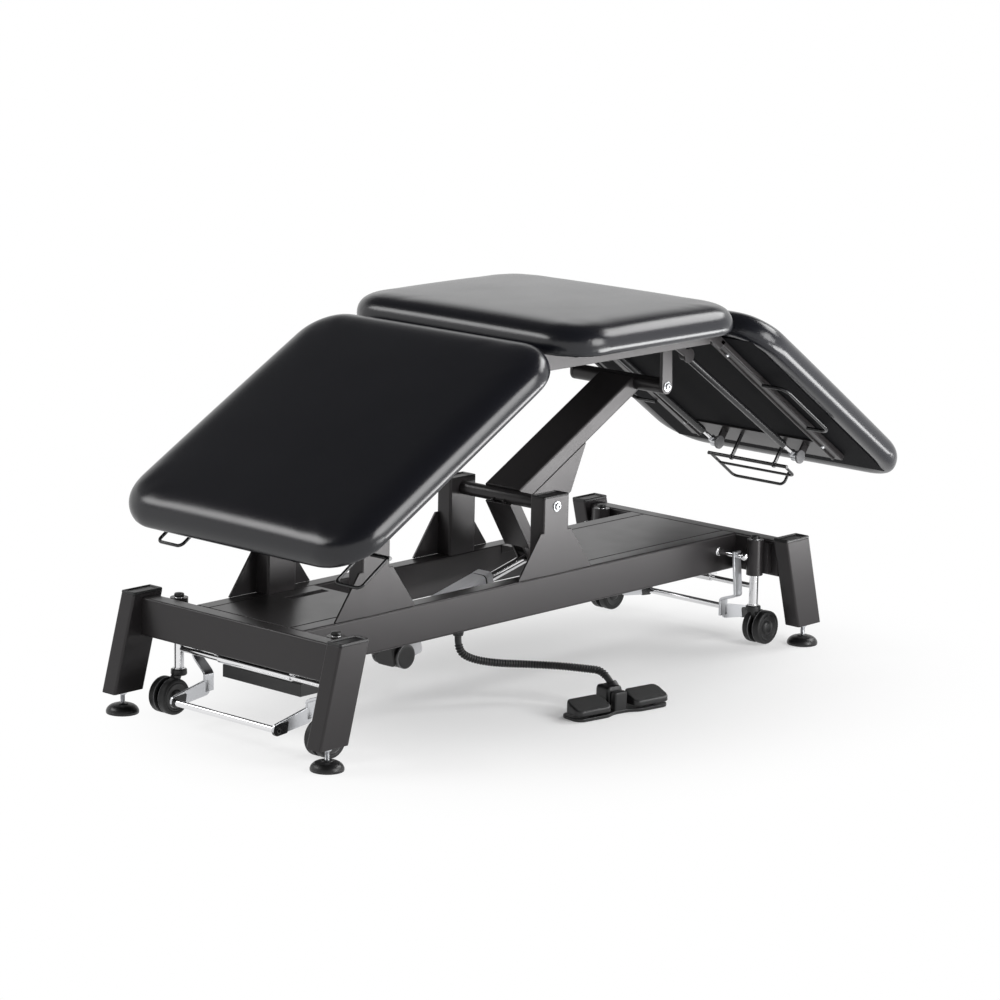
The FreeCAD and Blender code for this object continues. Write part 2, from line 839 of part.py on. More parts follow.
def web_pieces():
    """Two plates under the arm, deepest at the pivot end of their span."""
    plates = []
    for _, side in SIDES:
        y = span(side, "arm_width / 2 - web_plate", "arm_width / 2")
        low = ("web_start", "web_start + gusset_tip")
        high = ("pivot_tube_radius", "web_start + web_length")
        depth = ("0 - arm_height / 2 - web_depth", "0 - arm_height / 2 + arm_wall")
        plates.append(leaning(low, high, depth, y))
    return plates


def crank():
    plates = []
    inner = "act_eye_width / 2 + side_gap"
    outer = f"{inner} + crank_plate"
    for _, side in SIDES:
        y = span(side, inner, outer)
        boss_y = span(side, outer, f"{outer} + crank_boss")
        plates.append(block(("0", "crank_radius"), y, both_ways("crank_width / 2")))
        plates.append(bar("y", ("crank_radius", "0"), y, "crank_width / 2"))
        plates.append(bar("y", ("crank_radius", "0"), boss_y, "crank_boss_radius"))
    item = fuse(plates)
    turn(item, FreeCAD.Rotation(ACROSS, size("crank_angle")))
    return item


def make_arms():
    for label, post_x in (("arm_left", "post_left_x"), ("arm_right", "post_right_x")):
        pieces = arm_pieces()
        if label == "arm_right":
            pieces += web_pieces() + [crank()]
        place = FreeCAD.Placement()
        place.Rotation = FreeCAD.Rotation(ACROSS, -size("arm_angle"))
        arm = node(label, fuse(pieces), place)
        move_to(arm, post_x, "0", "pivot_height")


def make_actuator():
    slope = math.degrees(math.atan2(size("act_rise"), size("act_run")))
    place = FreeCAD.Placement()
    place.Rotation = FreeCAD.Rotation(ACROSS, -slope)
    eye_y = both_ways("act_eye_width / 2")
    body_y = both_ways("act_body_width / 2")
    gear_x = ("act_neck", "act_neck + act_gear_length")
    gear_z = ("0 - act_gear_drop", "act_body_width / 2")
    motor = ("act_motor_x", "0 - act_motor_drop")
    solid = fuse([
        bar("y", ("0", "0"), eye_y, "act_eye_radius"),
        block(("0", "act_neck"), eye_y, both_ways("act_eye_width / 2")),
        block(gear_x, both_ways("act_gear_width / 2"), gear_z),
        bar("y", motor, both_ways("act_motor_length / 2"), "act_motor_radius"),
        block(("act_neck", "act_body_length"), body_y, both_ways("act_body_width / 2")),
    ])
    bore_x = ("act_body_length - act_rod_in - act_rod_room", "act_body_length")
    body = cut(
        solid,
        bar("y", ("0", "0"), eye_y, "act_pin_radius + run_fit"),
        bar("x", ("0", "0"), bore_x, "act_rod_radius + run_fit"),
    )
    body = node("actuator_body", body, place)
    rod_x = ("act_body_length - act_rod_in", "act_length")
    rod = fuse([
        bar("x", ("0", "0"), rod_x, "act_rod_radius"),
        bar("y", ("act_length", "0"), eye_y, "act_eye_radius"),
    ])
    rod = node("actuator_rod", rod, place)
    for item in (body, rod):
        move_to(item, "act_rear_x", "0", "act_rear_z")


# Cushions


def rounded_outline(length, width, inset, corner, z):
    """Level outline from X 0 to the length, drawn in all round by the inset."""
    radius = max(corner - inset, corner * LEAST_CORNER_SHARE)
    low_x = inset
    high_x = length - inset
    high_y = width / 2 - inset
    low_y = -high_y
    slant = radius * math.sqrt(0.5)
    corners = [
        (high_x - radius, high_y - radius, 0),
        (low_x + radius, high_y - radius, 1),
        (low_x + radius, low_y + radius, 2),
        (high_x - radius, low_y + radius, 3),
    ]
    arcs = []
    for x, y, quarter in corners:
        turned = FreeCAD.Rotation(UP, 90 * quarter)
        reach = [
            turned.multVec(FreeCAD.Vector(*offset))
            for offset in ((radius, 0, 0), (slant, slant, 0), (0, radius, 0))
        ]
        arcs.append([FreeCAD.Vector(x, y, z) + offset for offset in reach])
    edges = []
    for arc, following in zip(arcs, arcs[1:] + arcs[:1]):
        edges.append(Part.Arc(*arc).toShape())
        edges.append(Part.LineSegment(arc[2], following[0]).toShape())
    return Part.Wire(edges)


def cushion_shape(length):
    """Cushion with a crowned top, rounded edges and its board's recess, underside at Z 0."""
    width = size("pad_width")
    thick = size("pad_thickness")
    edge = size("pad_edge")
    levels = [(size("pad_underside"), 0)]
    for centre, angles in ((edge, LOWER_EDGE_ANGLES), (thick - edge, UPPER_EDGE_ANGLES)):
        for angle in angles:
            turned = math.radians(angle)
            levels.append((edge * (1 - math.cos(turned)), centre + edge * math.sin(turned)))
    levels.append((size("crown_shoulder"), thick + size("crown_shoulder_rise")))
    levels.append((size("crown_flat"), thick + size("pad_crown")))
    outlines = [rounded_outline(length, width, inset, size("pad_corner"), z) for inset, z in levels]
    body = Part.makeLoft(outlines, True, True)
    inset = size("board_inset")
    corner = FreeCAD.Vector(inset, inset - width / 2, 0)
    recess = Part.makeBox(length - 2 * inset, width - 2 * inset, size("board_thickness"), corner)
    return body.cut(recess)


def board(start, length, bottom):
    x = (f"{start} + board_inset", f"{start} + {length} - board_inset")
    return block(x, both_ways("pad_width / 2 - board_inset"), (bottom, f"{bottom} + board_thickness"))


# Upper frame


def make_upper_rails():
    rails = []
    flange_x = ("hinge_left_x + flange_gap", "hinge_right_x - flange_gap")
    for _, side in SIDES:
        y = span(side, "frame_inner", "frame_face")
        flange_y = span(side, "frame_face - frame_flange", "frame_inner")
        pieces = [
            block(("hinge_left_x", "hinge_right_x"), y, ("frame_bottom", "seat_bottom")),
            block(flange_x, flange_y, ("seat_bottom - frame_rail_sheet", "seat_bottom")),
        ]
        pin_y = span(side, "section_inner - hinge_pin_end", "frame_face")
        for hinge_x in ("hinge_left_x", "hinge_right_x"):
            pieces.append(bar("y", (hinge_x, "hinge_z"), y, "hinge_ear_radius"))
            pieces.append(bar("y", (hinge_x, "hinge_z"), pin_y, "hinge_pin_radius"))
        rails.append(fuse(pieces))
    node("upper_rails", group(rails))


def make_cross_tubes():
    tubes = []
    wall = "cross_tube_wall"
    height = ("cross_tube_bottom", "cross_tube_top")
    for x in ("cross_left_x", "cross_tube_middle_x", "cross_right_x"):
        y = both_ways("frame_inner")
        outer = block((x, f"{x} + cross_tube_width"), y, height)
        hollow_x = (f"{x} + {wall}", f"{x} + cross_tube_width - {wall}")
        inner = block(hollow_x, y, (f"{height[0]} + {wall}", f"{height[1]} - {wall}"))
        tubes.append(cut(outer, inner))
    node("upper_cross_tubes", group(tubes))


def make_hangers():
    """Plates that hang the arm pivots, and the gas springs' upper brackets, from the cross tubes."""
    plates = []
    half = "hanger_width / 2"
    tops = (("arm_left_top_x", "cross_left_x"), ("arm_right_top_x", "cross_right_x"))
    for top_x, tube_x in tops:
        for _, side in SIDES:
            y = span(side, "hanger_face", "hanger_face + hanger_plate")
            low = about(top_x, half)
            high = (tube_x, f"{tube_x} + cross_tube_width")
            plate = leaning(low, high, ("pivot_top", "cross_tube_bottom"), y)
            end = bar("y", (top_x, "pivot_top"), y, half)
            bore = bar("y", (top_x, "pivot_top"), y, "arm_top_radius + run_fit")
            plates.append(cut(fuse([plate, end]), bore))
    radius = "gas_bracket_radius"
    anchor_z = "hinge_z - gas_top_drop"
    for (label, end), (_, tube_x) in zip(ENDS, tops):
        anchor_x = f"hinge_{label}_x + ({end}) * gas_top_x"
        for _, side in SIDES:
            axis_y = on_side(side, f"gas_{label}_y")
            face = f"{axis_y} - ({end}) * (gas_eye_width / 2 + side_gap)"
            back = f"{face} - ({end}) * gas_bracket_plate"
            tip = f"{axis_y} + ({end}) * (gas_eye_width / 2 + side_gap)"
            y = (back, face) if end > 0 else (face, back)
            pin_y = (back, tip) if end > 0 else (tip, back)
            low = about(anchor_x, radius)
            high = (tube_x, f"{tube_x} + cross_tube_width")
            plates.append(fuse([
                leaning(low, high, (anchor_z, "cross_tube_bottom"), y),
                bar("y", (anchor_x, anchor_z), y, radius),
                bar("y", (anchor_x, anchor_z), pin_y, "gas_pin_radius"),
            ]))
    node("arm_hangers", group(plates))


def make_seat():
    start = "hinge_left_x + pad_gap"
    node("seat_board", board(start, "seat_length", "seat_bottom"))
    corner = FreeCAD.Vector(size("hinge_left_x") + size("pad_gap"), 0, size("seat_bottom"))
    feature("seat_pad", cushion_shape(size("seat_length")), FreeCAD.Placement(corner, FreeCAD.Rotation()))


# End sections


def section_place(label, end):
    """Frame of an end section, with X outward along it from its hinge."""
    base = FreeCAD.Vector(size(f"hinge_{label}_x"), 0, size("hinge_z"))
    tilt = FreeCAD.Rotation(ACROSS, end * size(f"{label}_tilt"))
    return FreeCAD.Placement(base, tilt if end > 0 else tilt * HALF_TURN)


def make_section_rails(label, place):
    rails = []
    bottom = "hinge_depth - frame_rail_height"
    for _, side in SIDES:
        y = span(side, "section_inner", "section_face")
        web_x = ("pad_gap + board_inset", "section_rail_length")
        flange_y = span(side, "section_face - frame_flange", "section_inner")
        pieces = [
            bar("y", ("0", "0"), y, "hinge_ear_radius"),
            block(("0", "pad_gap + board_inset"), y, ("0 - hinge_ear_radius", "hinge_depth")),
            block(web_x, y, (bottom, "hinge_depth")),
            block(web_x, flange_y, ("hinge_depth - frame_rail_sheet", "hinge_depth")),
        ]
        bore = bar("y", ("0", "0"), y, "hinge_pin_radius + run_fit")
        rails.append(cut(fuse(pieces), bore))
    node(label + "_rails", group(rails), place)


def make_section_plate(label, place):
    """Cross plate with the gas springs' lower brackets and the release lever's lugs."""
    x = ("section_plate_start", "section_plate_start + section_plate_length")
    y = both_ways("section_face - frame_flange")
    pieces = [block(x, y, ("section_plate_bottom", "section_plate_top"))]
    for _, side in SIDES:
        face = f"{on_side(side, f'gas_{label}_y')} - gas_eye_width / 2 - side_gap"
        plate_y = (f"{face} - gas_bracket_plate", face)
        bracket_x = about("gas_foot_x", "gas_bracket_radius")
        pieces.append(block(bracket_x, plate_y, ("0 - gas_foot_drop", "section_plate_top")))
        pieces.append(bar("y", ("gas_foot_x", "0 - gas_foot_drop"), plate_y, "gas_bracket_radius"))
        lug_y = span(side, *about("release_lug_y", "release_lug_plate / 2"))
        lug_x = about("release_x", "release_lug_radius")
        pieces.append(block(lug_x, lug_y, ("release_z", "section_plate_top")))
        pieces.append(bar("y", ("release_x", "release_z"), lug_y, "release_lug_radius"))
    bore_y = both_ways(f"gas_{label}_y")
    bore = bar("y", ("release_x", "release_z"), bore_y, "release_rod_radius + run_fit")
    node(label + "_cross", cut(fuse(pieces), bore), place)


def make_gas_springs(label, end, place):
    top = FreeCAD.Vector(
        size(f"hinge_{label}_x") + end * size("gas_top_x"), 0, size("hinge_z") - size("gas_top_drop"))
    foot = place.multVec(FreeCAD.Vector(size("gas_foot_x"), 0, -size("gas_foot_drop")))
    reach = foot - top
    slope = math.degrees(math.atan2(reach.z, end * reach.x))
    lean = FreeCAD.Rotation(ACROSS, -end * slope)
    gas_place = FreeCAD.Placement(top, lean if end > 0 else lean * HALF_TURN)
    tube_start = "gas_bracket_radius + gas_neck"
    tube_end = f"{tube_start} + gas_tube_length"
    cylinders = []
    rods = []
    for _, side in SIDES:
        axis_y = on_side(side, f"gas_{label}_y")
        eye_y = about(axis_y, "gas_eye_width / 2")
        body = fuse([
            bar("y", ("0", "0"), eye_y, "gas_eye_radius"),
            bar("x", (axis_y, "0"), ("0", tube_start), "gas_neck_radius"),
            bar("x", (axis_y, "0"), (tube_start, tube_end), "gas_tube_radius"),
        ])
        bore_x = (f"{tube_end} - gas_rod_in - side_gap", tube_end)
        cylinders.append(cut(
            body,
            bar("y", ("0", "0"), eye_y, "gas_pin_radius + run_fit"),
            bar("x", (axis_y, "0"), bore_x, "gas_rod_radius + run_fit"),
        ))
        rods.append(fuse([
            bar("x", (axis_y, "0"), (f"{tube_end} - gas_rod_in", str(reach.Length)), "gas_rod_radius"),
            bar("y", (str(reach.Length), "0"), eye_y, "gas_eye_radius"),
        ]))
    node(label + "_gas_cylinders", group(cylinders), gas_place)
    node(label + "_gas_rods", group(rods), gas_place)


def release_rod(low_y, high_y):
    start = FreeCAD.Vector(size("release_x"), low_y, size("release_z"))
    return Part.makeCylinder(size("release_rod_radius"), high_y - low_y, start, ACROSS)


def make_right_release(place):
    """Bent-wire lever: a handle from one end of the rod, and a stay from end to end."""
    x = size("release_x")
    z = size("release_z")
    bend = size("release_bend")
    radius = size("release_radius")
    far_y = size("release_far") - radius
    near_y = radius - size("release_near")
    out_x = x + size("release_out")
    low_z = z - size("release_down")
    tip_y = far_y - size("release_across")
    tip_z = low_z + size("release_tip") + bend
    share = size("release_return") / size("release_out")
    stay_x = x + size("release_return")
    stay_z = z - size("release_down") * share
    handle = [(x, far_y, z), (out_x, far_y, low_z), (out_x, tip_y, low_z), (out_x, tip_y, tip_z)]
    stay = [(x, near_y, z), (stay_x, near_y, stay_z), (stay_x, far_y, stay_z)]
    over = size("release_rod_over")
    shape = release_rod(-size("release_near") - over, size("release_far") + over)
    for route, wire in ((handle, radius), (stay, size("release_stay_radius"))):
        shape = shape.fuse(wire_form(route, bend, wire))
    feature("right_release", shape, place)


def make_left_release(place):
    """Release rod with a wire loop at each end."""
    x = size("release_x")
    z = size("release_z")
    half = size("loop_width") / 2 - size("release_radius")
    out_x = x + size("loop_out")
    low_z = z - size("loop_down")
    rod_end = size("loop_y") + size("loop_width") / 2 + size("release_rod_over")
    shape = release_rod(-rod_end, rod_end)
    for _, side in SIDES:
        y = side * size("loop_y")
        route = [(x, y - half, z), (out_x, y - half, low_z), (out_x, y + half, low_z), (x, y + half, z)]
        shape = shape.fuse(wire_form(route, size("release_bend"), size("release_radius")))
    feature("left_release", shape, place)


def make_grips(place):
    """Wire grips that stand out from the right section's rails."""
    start = size("grip_start")
    end = start + size("grip_length")
    z = -size("grip_drop")
    face = size("section_face")
    grips = []
    for _, side in SIDES:
        out = side * (face + size("grip_reach"))
        route = [(start, side * face, z), (start, out, z), (end, out, z), (end, side * face, z)]
        grips.append(wire_form(route, size("grip_bend"), size("grip_radius")))
    feature("right_grips", Part.makeCompound(grips), place)


def make_screws(place):
    screws = []
    bottom = "hinge_depth - frame_rail_sheet - screw_head"
    for _, side in SIDES:
        y = on_side(side, "section_inner - frame_flange / 2")
        for x in ("screw_first", "screw_last"):
            screws.append(bar("z", (x, y), (bottom, "hinge_depth - frame_rail_sheet"), "screw_radius"))
    node("right_screws", group(screws), place)


def make_section(label, end):
    place = section_place(label, end)
    length = size(label + "_length")
    pad_place = place.multiply(
        FreeCAD.Placement(FreeCAD.Vector(size("pad_gap"), 0, size("hinge_depth")), FreeCAD.Rotation()))
    feature(label + "_pad", cushion_shape(length), pad_place)
    node(label + "_board", group([board("pad_gap", label + "_length", "hinge_depth")]), place)
    make_section_rails(label, place)
    make_section_plate(label, place)
    make_gas_springs(label, end, place)
    if end > 0:
        make_grips(place)
        make_screws(place)
        make_right_release(place)
    else:
        make_left_release(place)


# Foot switch and hose


def vertical(edge):
    return abs(edge.Vertexes[0].Z - edge.Vertexes[-1].Z) > size("switch_plate") / 2


def switch_place():
    base = FreeCAD.Vector(size("switch_x"), size("switch_y"), 0)
    return FreeCAD.Placement(base, FreeCAD.Rotation(UP, size("switch_turn")))


def make_switch():
    place = switch_place()
    half_depth = "switch_depth / 2"
    plate = block(both_ways("switch_width / 2"), both_ways(half_depth), ("0", "switch_plate"))
    plate = fillet(plate, size("switch_corner"), vertical)
    bridge_y = ("-bridge_front", "bridge_back")
    bridge = block(both_ways("bridge_width / 2"), bridge_y, ("0", "bridge_height"))
    bridge = fillet(bridge, size("bridge_round"), lambda edge: edge.CenterOfMass.z > size("switch_plate"))
    toe_back = f"toe_depth - {half_depth}"
    hinge = (f"{toe_back} - toe_hinge_back", "toe_bottom + toe_hinge_rise")
    pin_holes = bar("x", hinge, both_ways("bridge_width / 2"), "toe_pin_radius + run_fit")
    route = [FreeCAD.Vector(*point) for point in HOSE_ROUTE]
    inward = (route[-1] - route[-2]).normalize()
    socket = doc.addObject("Part::Cylinder", "Socket")
    bind(socket, Radius="socket_radius", Height="socket_depth")
    level = place.inverse()
    socket.Placement = FreeCAD.Placement(
        level.multVec(route[-1]), FreeCAD.Rotation(UP, level.Rotation.multVec(inward)))
    node("switch_base", fuse([plate, cut(bridge, pin_holes), socket]), place)
    for label, end in ENDS:
        x = span(end, "bridge_width / 2 + toe_gap", "bridge_width / 2 + toe_gap + toe_width")
        toe = doc.addObject("Part::Wedge", "Toe")
        bind(toe, Xmin=x[0], Xmax=x[1], X2min=x[0], X2max=x[1])
        bind(toe, Ymin=f"-({half_depth})", Ymax=toe_back)
        bind(toe, Zmin="toe_bottom", Zmax="toe_bottom + toe_front_height")
        bind(toe, Z2min="toe_bottom", Z2max="toe_bottom + toe_back_height")
        toe = fillet(toe, size("toe_round"), lambda edge: edge.CenterOfMass.z > size("toe_bottom"))
        pin_x = span(end, "bridge_width / 2 - toe_pin_in", "bridge_width / 2 + toe_gap + toe_round")
        node("switch_pedal_" + label, fuse([toe, bar("x", hinge, pin_x, "toe_pin_radius")]), place)


def route_edges(route):
    """Straight runs joined by tangent arcs, each as large as its two runs allow."""
    edges = []
    start = route[0]
    runs = [(after - before).Length for before, after in zip(route, route[1:])]
    for index, (before, corner, after) in enumerate(zip(route, route[1:], route[2:])):
        back = (before - corner).normalize()
        ahead = (after - corner).normalize()
        half_angle = back.getAngle(ahead) / 2
        reach = ARC_SHARE * min(runs[index], runs[index + 1])
        radius = reach * math.tan(half_angle)
        print("hose bend radius", round(radius, 1))
        inside = (back + ahead).normalize() * (radius / math.sin(half_angle) - radius)
        enter = corner + back * reach
        leave = corner + ahead * reach
        edges.append(Part.LineSegment(start, enter).toShape())
        edges.append(Part.Arc(enter, corner + inside, leave).toShape())
        start = leave
    edges.append(Part.LineSegment(start, route[-1]).toShape())
    return edges


def even_stations(edges, total, count):
    """Points and directions at even steps along the edges."""
    stations = []
    for step in range(count + 1):
        left = total * step / count
        for edge in edges:
            if left <= edge.Length or edge is edges[-1]:
                break
            left -= edge.Length
        at = edge.getParameterByLength(min(left, edge.Length))
        stations.append((edge.valueAt(at), edge.tangentAt(at)))
    return stations


def rings(stations, radii):
    """Circles along the stations whose own X axes turn as little as they can."""
    steady = ALONG
    wires = []
    for (centre, direction), radius in zip(stations, radii):
        steady = (steady - direction * steady.dot(direction)).normalize()
        frame = FreeCAD.Rotation(steady, direction.cross(steady), direction, "ZXY")
        wire = Part.Wire(Part.makeCircle(radius))
        wire.Placement = FreeCAD.Placement(centre, frame)
        wires.append(wire)
    return wires


def make_hose():
    edges = route_edges([FreeCAD.Vector(*point) for point in HOSE_ROUTE])
    total = sum(edge.Length for edge in edges)
    ribs = round(total / size("hose_rib_pitch"))
    steps = RINGS_PER_RIB * ribs
    stations = even_stations(edges, total, steps)
    root = size("hose_root_radius")
    crest = size("hose_radius")
    bore = size("hose_bore_radius")
    plain = math.ceil(2 * crest / total * steps)
    radii = []
    for step in range(steps + 1):
        ribbed = plain <= step <= steps - plain and step % RINGS_PER_RIB in (1, 2)
        radii.append(crest if ribbed else root)
    outer = Part.makeLoft(rings(stations, radii), True, True)
    inner = Part.makeLoft(rings(stations, [bore] * len(stations)), True, True)
    hose = outer.cut(inner)
    area = math.pi * (((root + crest) / 2) ** 2 - bore ** 2)
    print("hose", ribs, "ribs, volume over section times length", round(hose.Volume / (area * total), 3))
    feature("hose", hose)


def make_gland():
    centre = ("gland_x", "gland_y")
    node("hose_gland", bar("z", centre, ("rail_bottom - gland_height", "rail_bottom"), "gland_radius"))


# Build, check and write


def build():
    for label, side in SIDES:
        make_rail("rail_" + label, side)
    for label, end in ENDS:
        make_beam("beam_" + label, end)
        make_legs("legs_" + label, end)
        make_posts("posts_" + label, f"post_{label}_x")
        make_castor_stems("stems_" + label, end)
        make_pedal_frame("pedal_" + label, end)
        for near_far, side in SIDES:
            make_foot(f"foot_{label}_{near_far}", end, side)
            make_castor(f"{label}_{near_far}", end, side)
    make_tube_caps()
    make_trays()
    make_castor_sleeves()
    make_control_box()
    make_actuator_mount()
    make_arms()
    make_actuator()
    make_upper_rails()
    make_cross_tubes()
    make_hangers()
    make_seat()
    for label, end in ENDS:
        make_section(label, end)
    make_switch()
    make_gland()
    make_hose()
    doc.recompute()


def check():
    for item in doc.Objects:
        if "Invalid" in item.State or "Error" in item.State:
            raise RuntimeError(f"{item.Name} did not compute")
    for item in nodes:
        if item.Shape.isNull() or not item.Shape.isValid() or not item.Shape.Solids:
            raise RuntimeError(f"{item.Label} has no valid solid")


def write():
    os.makedirs("parts", exist_ok=True)
    for item in nodes:
        item.Shape.exportStep(f"parts/{item.Label}.step")
        print(item.Label, len(item.Shape.Solids), "solids", round(item.Shape.Volume))


build()
check()
write()
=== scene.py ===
"""Treatment couch: upholstery, tube frame, lift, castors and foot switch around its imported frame.

Every length is in metres, in the frame's own axes: X along the couch, Y across it, Z up.
"""

import json
import math

import bmesh
import bpy
import numpy as np
from bpy.props import FloatProperty, FloatVectorProperty, IntProperty, PointerProperty
from bpy.types import Operator, Panel, PropertyGroup
from mathutils import Matrix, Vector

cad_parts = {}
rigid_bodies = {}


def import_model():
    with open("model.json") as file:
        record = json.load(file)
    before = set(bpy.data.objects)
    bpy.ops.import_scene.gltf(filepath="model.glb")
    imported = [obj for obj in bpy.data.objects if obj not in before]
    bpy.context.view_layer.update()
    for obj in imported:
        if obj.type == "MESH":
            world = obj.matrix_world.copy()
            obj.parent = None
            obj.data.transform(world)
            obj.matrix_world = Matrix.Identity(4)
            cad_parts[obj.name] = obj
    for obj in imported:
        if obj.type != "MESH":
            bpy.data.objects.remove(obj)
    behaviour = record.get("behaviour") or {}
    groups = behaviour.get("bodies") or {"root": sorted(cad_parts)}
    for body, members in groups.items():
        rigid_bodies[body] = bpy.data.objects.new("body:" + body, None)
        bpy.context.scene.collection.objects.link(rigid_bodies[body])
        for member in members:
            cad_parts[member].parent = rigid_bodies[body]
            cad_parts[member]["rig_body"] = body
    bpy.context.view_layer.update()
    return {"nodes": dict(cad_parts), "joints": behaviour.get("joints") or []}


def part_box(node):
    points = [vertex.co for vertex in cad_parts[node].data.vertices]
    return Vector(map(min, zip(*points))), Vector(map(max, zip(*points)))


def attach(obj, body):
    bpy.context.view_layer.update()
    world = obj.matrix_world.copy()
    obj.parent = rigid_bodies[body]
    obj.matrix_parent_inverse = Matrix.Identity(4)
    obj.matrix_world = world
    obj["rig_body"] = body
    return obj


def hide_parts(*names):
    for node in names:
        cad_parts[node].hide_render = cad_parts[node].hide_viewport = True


bl_info = {
    "name": "Treatment Couch",
    "version": (1, 0, 0),
    "blender": (4, 5, 0),
    "location": "View3D > Sidebar > Couch",
    "description": "Upholstery, tube frame, lift, castors and foot switch of a treatment couch",
    "category": "Object",
}

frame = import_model()
X, Y, Z = np.eye(3)
ENDS = {"left": -1, "right": 1}
SIDES = {"near": -1, "far": 1}
PIVOTS = {"left": "lift_follow", "right": "lift"}
FULL_TURN = 2 * math.pi
QUARTER = math.pi / 2
CORNER_POINTS = 7
EDGE_POINTS = 4
LEAST_ARC = 0.0004

# Foot switch hose, from the gland under the near rail to the socket at the back of the bridge
HOSE_ROUTE = (
    (-0.207, -0.134, 0.1496),
    (-0.207, -0.134, 0.120),
    (-0.184, -0.144, 0.099),
    (-0.138, -0.170, 0.086),
    (-0.066, -0.205, 0.0775),
    (-0.020, -0.258, 0.0755),
    (0.002, -0.312, 0.0755),
    (0.012, -0.343, 0.076),
    (0.013, -0.364, 0.0535),
)

# Each lamp's place, aim, width and height
LAMPS = {
    "low": ((1.85, -2.15, 0.01), (1.85, -2.15, 1.0), 2.9, 2.1),
    "front": ((0.9, -3.9, 2.2), (0, 0, 0.6), 2.1, 2.2),
    "side": ((4.0, -1.2, 3.6), (0, 0, 0.7), 3.2, 1.7),
    "rim": ((-3.0, 3.2, 3.7), (0, 0, 0.5), 3.0, 1.4),
}


def length_of(label, default, text):
    return FloatProperty(name=label, default=default, min=0, unit="LENGTH", precision=4, description=text)


def angle_of(label, degrees, text):
    return FloatProperty(name=label, default=math.radians(degrees), unit="ROTATION", description=text)


def power_of(label, default, text):
    return FloatProperty(name=label, default=default, min=0, unit="POWER", description=text)


def colour_of(label, default, text):
    return FloatVectorProperty(
        name=label, default=default, size=3, min=0, max=1, subtype="COLOR", description=text)


class CouchSizes(PropertyGroup):
    """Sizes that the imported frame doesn't hold."""

    tube_round: length_of("Tube corner", 0.005, "Radius along the edges of the frame's square tube")
    plate_edge: length_of("Plate edge", 0.0012, "Radius along the edges of cut plates")
    gusset_height: length_of("Gusset height", 0.092, "Height of the plates beside each post")
    gusset_tip: length_of("Gusset tip", 0.008, "Width of those plates at their top")
    gusset_plate: length_of("Gusset plate", 0.005, "Thickness of those plates")
    arm_width: length_of("Arm width", 0.100, "Width of a lift arm's box section")
    arm_height: length_of("Arm height", 0.038, "Height of a lift arm's box section")
    hanger_reach: length_of("Hanger reach", 0.125, "Distance of the arm hangers from the couch's middle")
    strap_reach: length_of("Strap reach", 0.207, "Distance of a pedal's straps from the couch's middle")
    toe_reach: length_of("Toe reach", 0.147, "Distance of a pedal's feet from the couch's middle")
    finger_reach: length_of("Finger reach", 0.109, "Distance of a pedal's fingers from the couch's middle")
    tie_height: length_of("Tie height", 0.134, "Height of the rod that ties a pair of castor stems")
    lug_reach: length_of("Lug reach", 0.062, "Distance of a release's lugs from the couch's middle")
    left_tilt: angle_of("Left tilt", 29.3, "Fall of the left section at rest")
    right_tilt: angle_of("Right tilt", 35.0, "Fall of the right section at rest")
    pad_edge: length_of("Cushion edge", 0.018, "Radius under a cushion's rolled edge")
    pad_dome: length_of("Cushion dome", 0.064, "Width of a cushion's rounded shoulder")
    pad_fullness: FloatProperty(
        name="Cushion fullness", default=0.80, min=0.1, description="Power of a cushion's shoulder curve")
    pad_corner: length_of("Cushion corner", 0.104, "Radius of a cushion's corners seen from above")
    pad_crown: length_of("Cushion crown", 0.008, "Rise of a cushion's middle over its edge")
    pad_loss: length_of("Cushion loss", 0.002, "How far a cushion's shoulder lies below its packed top")
    pad_slack: length_of("Cushion slack", 0.0004, "How much smaller a cushion is before it is filled")
    pad_swell: length_of("Cushion swell", 0.0011, "The most that filling may move a point")
    pad_voxel: length_of("Cushion mesh", 0.0065, "Width of a face of a cushion's cover")
    hose_radius: length_of("Hose radius", 0.0085, "Radius of the hose over its ribs")
    hose_root: length_of("Hose root", 0.0068, "Radius of the hose between its ribs")
    hose_ribs: IntProperty(name="Hose ribs", default=64, min=1, description="Ribs along the hose")


class CouchColours(PropertyGroup):
    """Colours of the couch's finishes."""

    vinyl: colour_of("Vinyl", (0.0066, 0.0070, 0.0098), "Upholstery")
    coat: colour_of("Powder coat", (0.031, 0.0285, 0.0295), "Tube frame and plates")
    plastic: colour_of("Black plastic", (0.005, 0.005, 0.0055), "Caps, feet, hoods and foot switch")
    tyre: colour_of("Tyre", (0.004, 0.004, 0.0045), "Castor treads")
    slate: colour_of("Slate", (0.12, 0.12, 0.125), "Castor rings, spring brackets and motor rims")
    chrome: colour_of("Chrome", (0.80, 0.80, 0.81), "Stems, straps and pedal bars")
    zinc: colour_of("Zinc", (0.62, 0.63, 0.65), "Bolts, screws and levelling stems")
    grey: colour_of("Grey plastic", (0.58, 0.58, 0.60), "Actuator housing")
    lining: colour_of("Lining", (0.005, 0.005, 0.006), "Covered boards under the cushions")
    floor: colour_of("Floor", (0.82, 0.82, 0.82), "Studio floor")


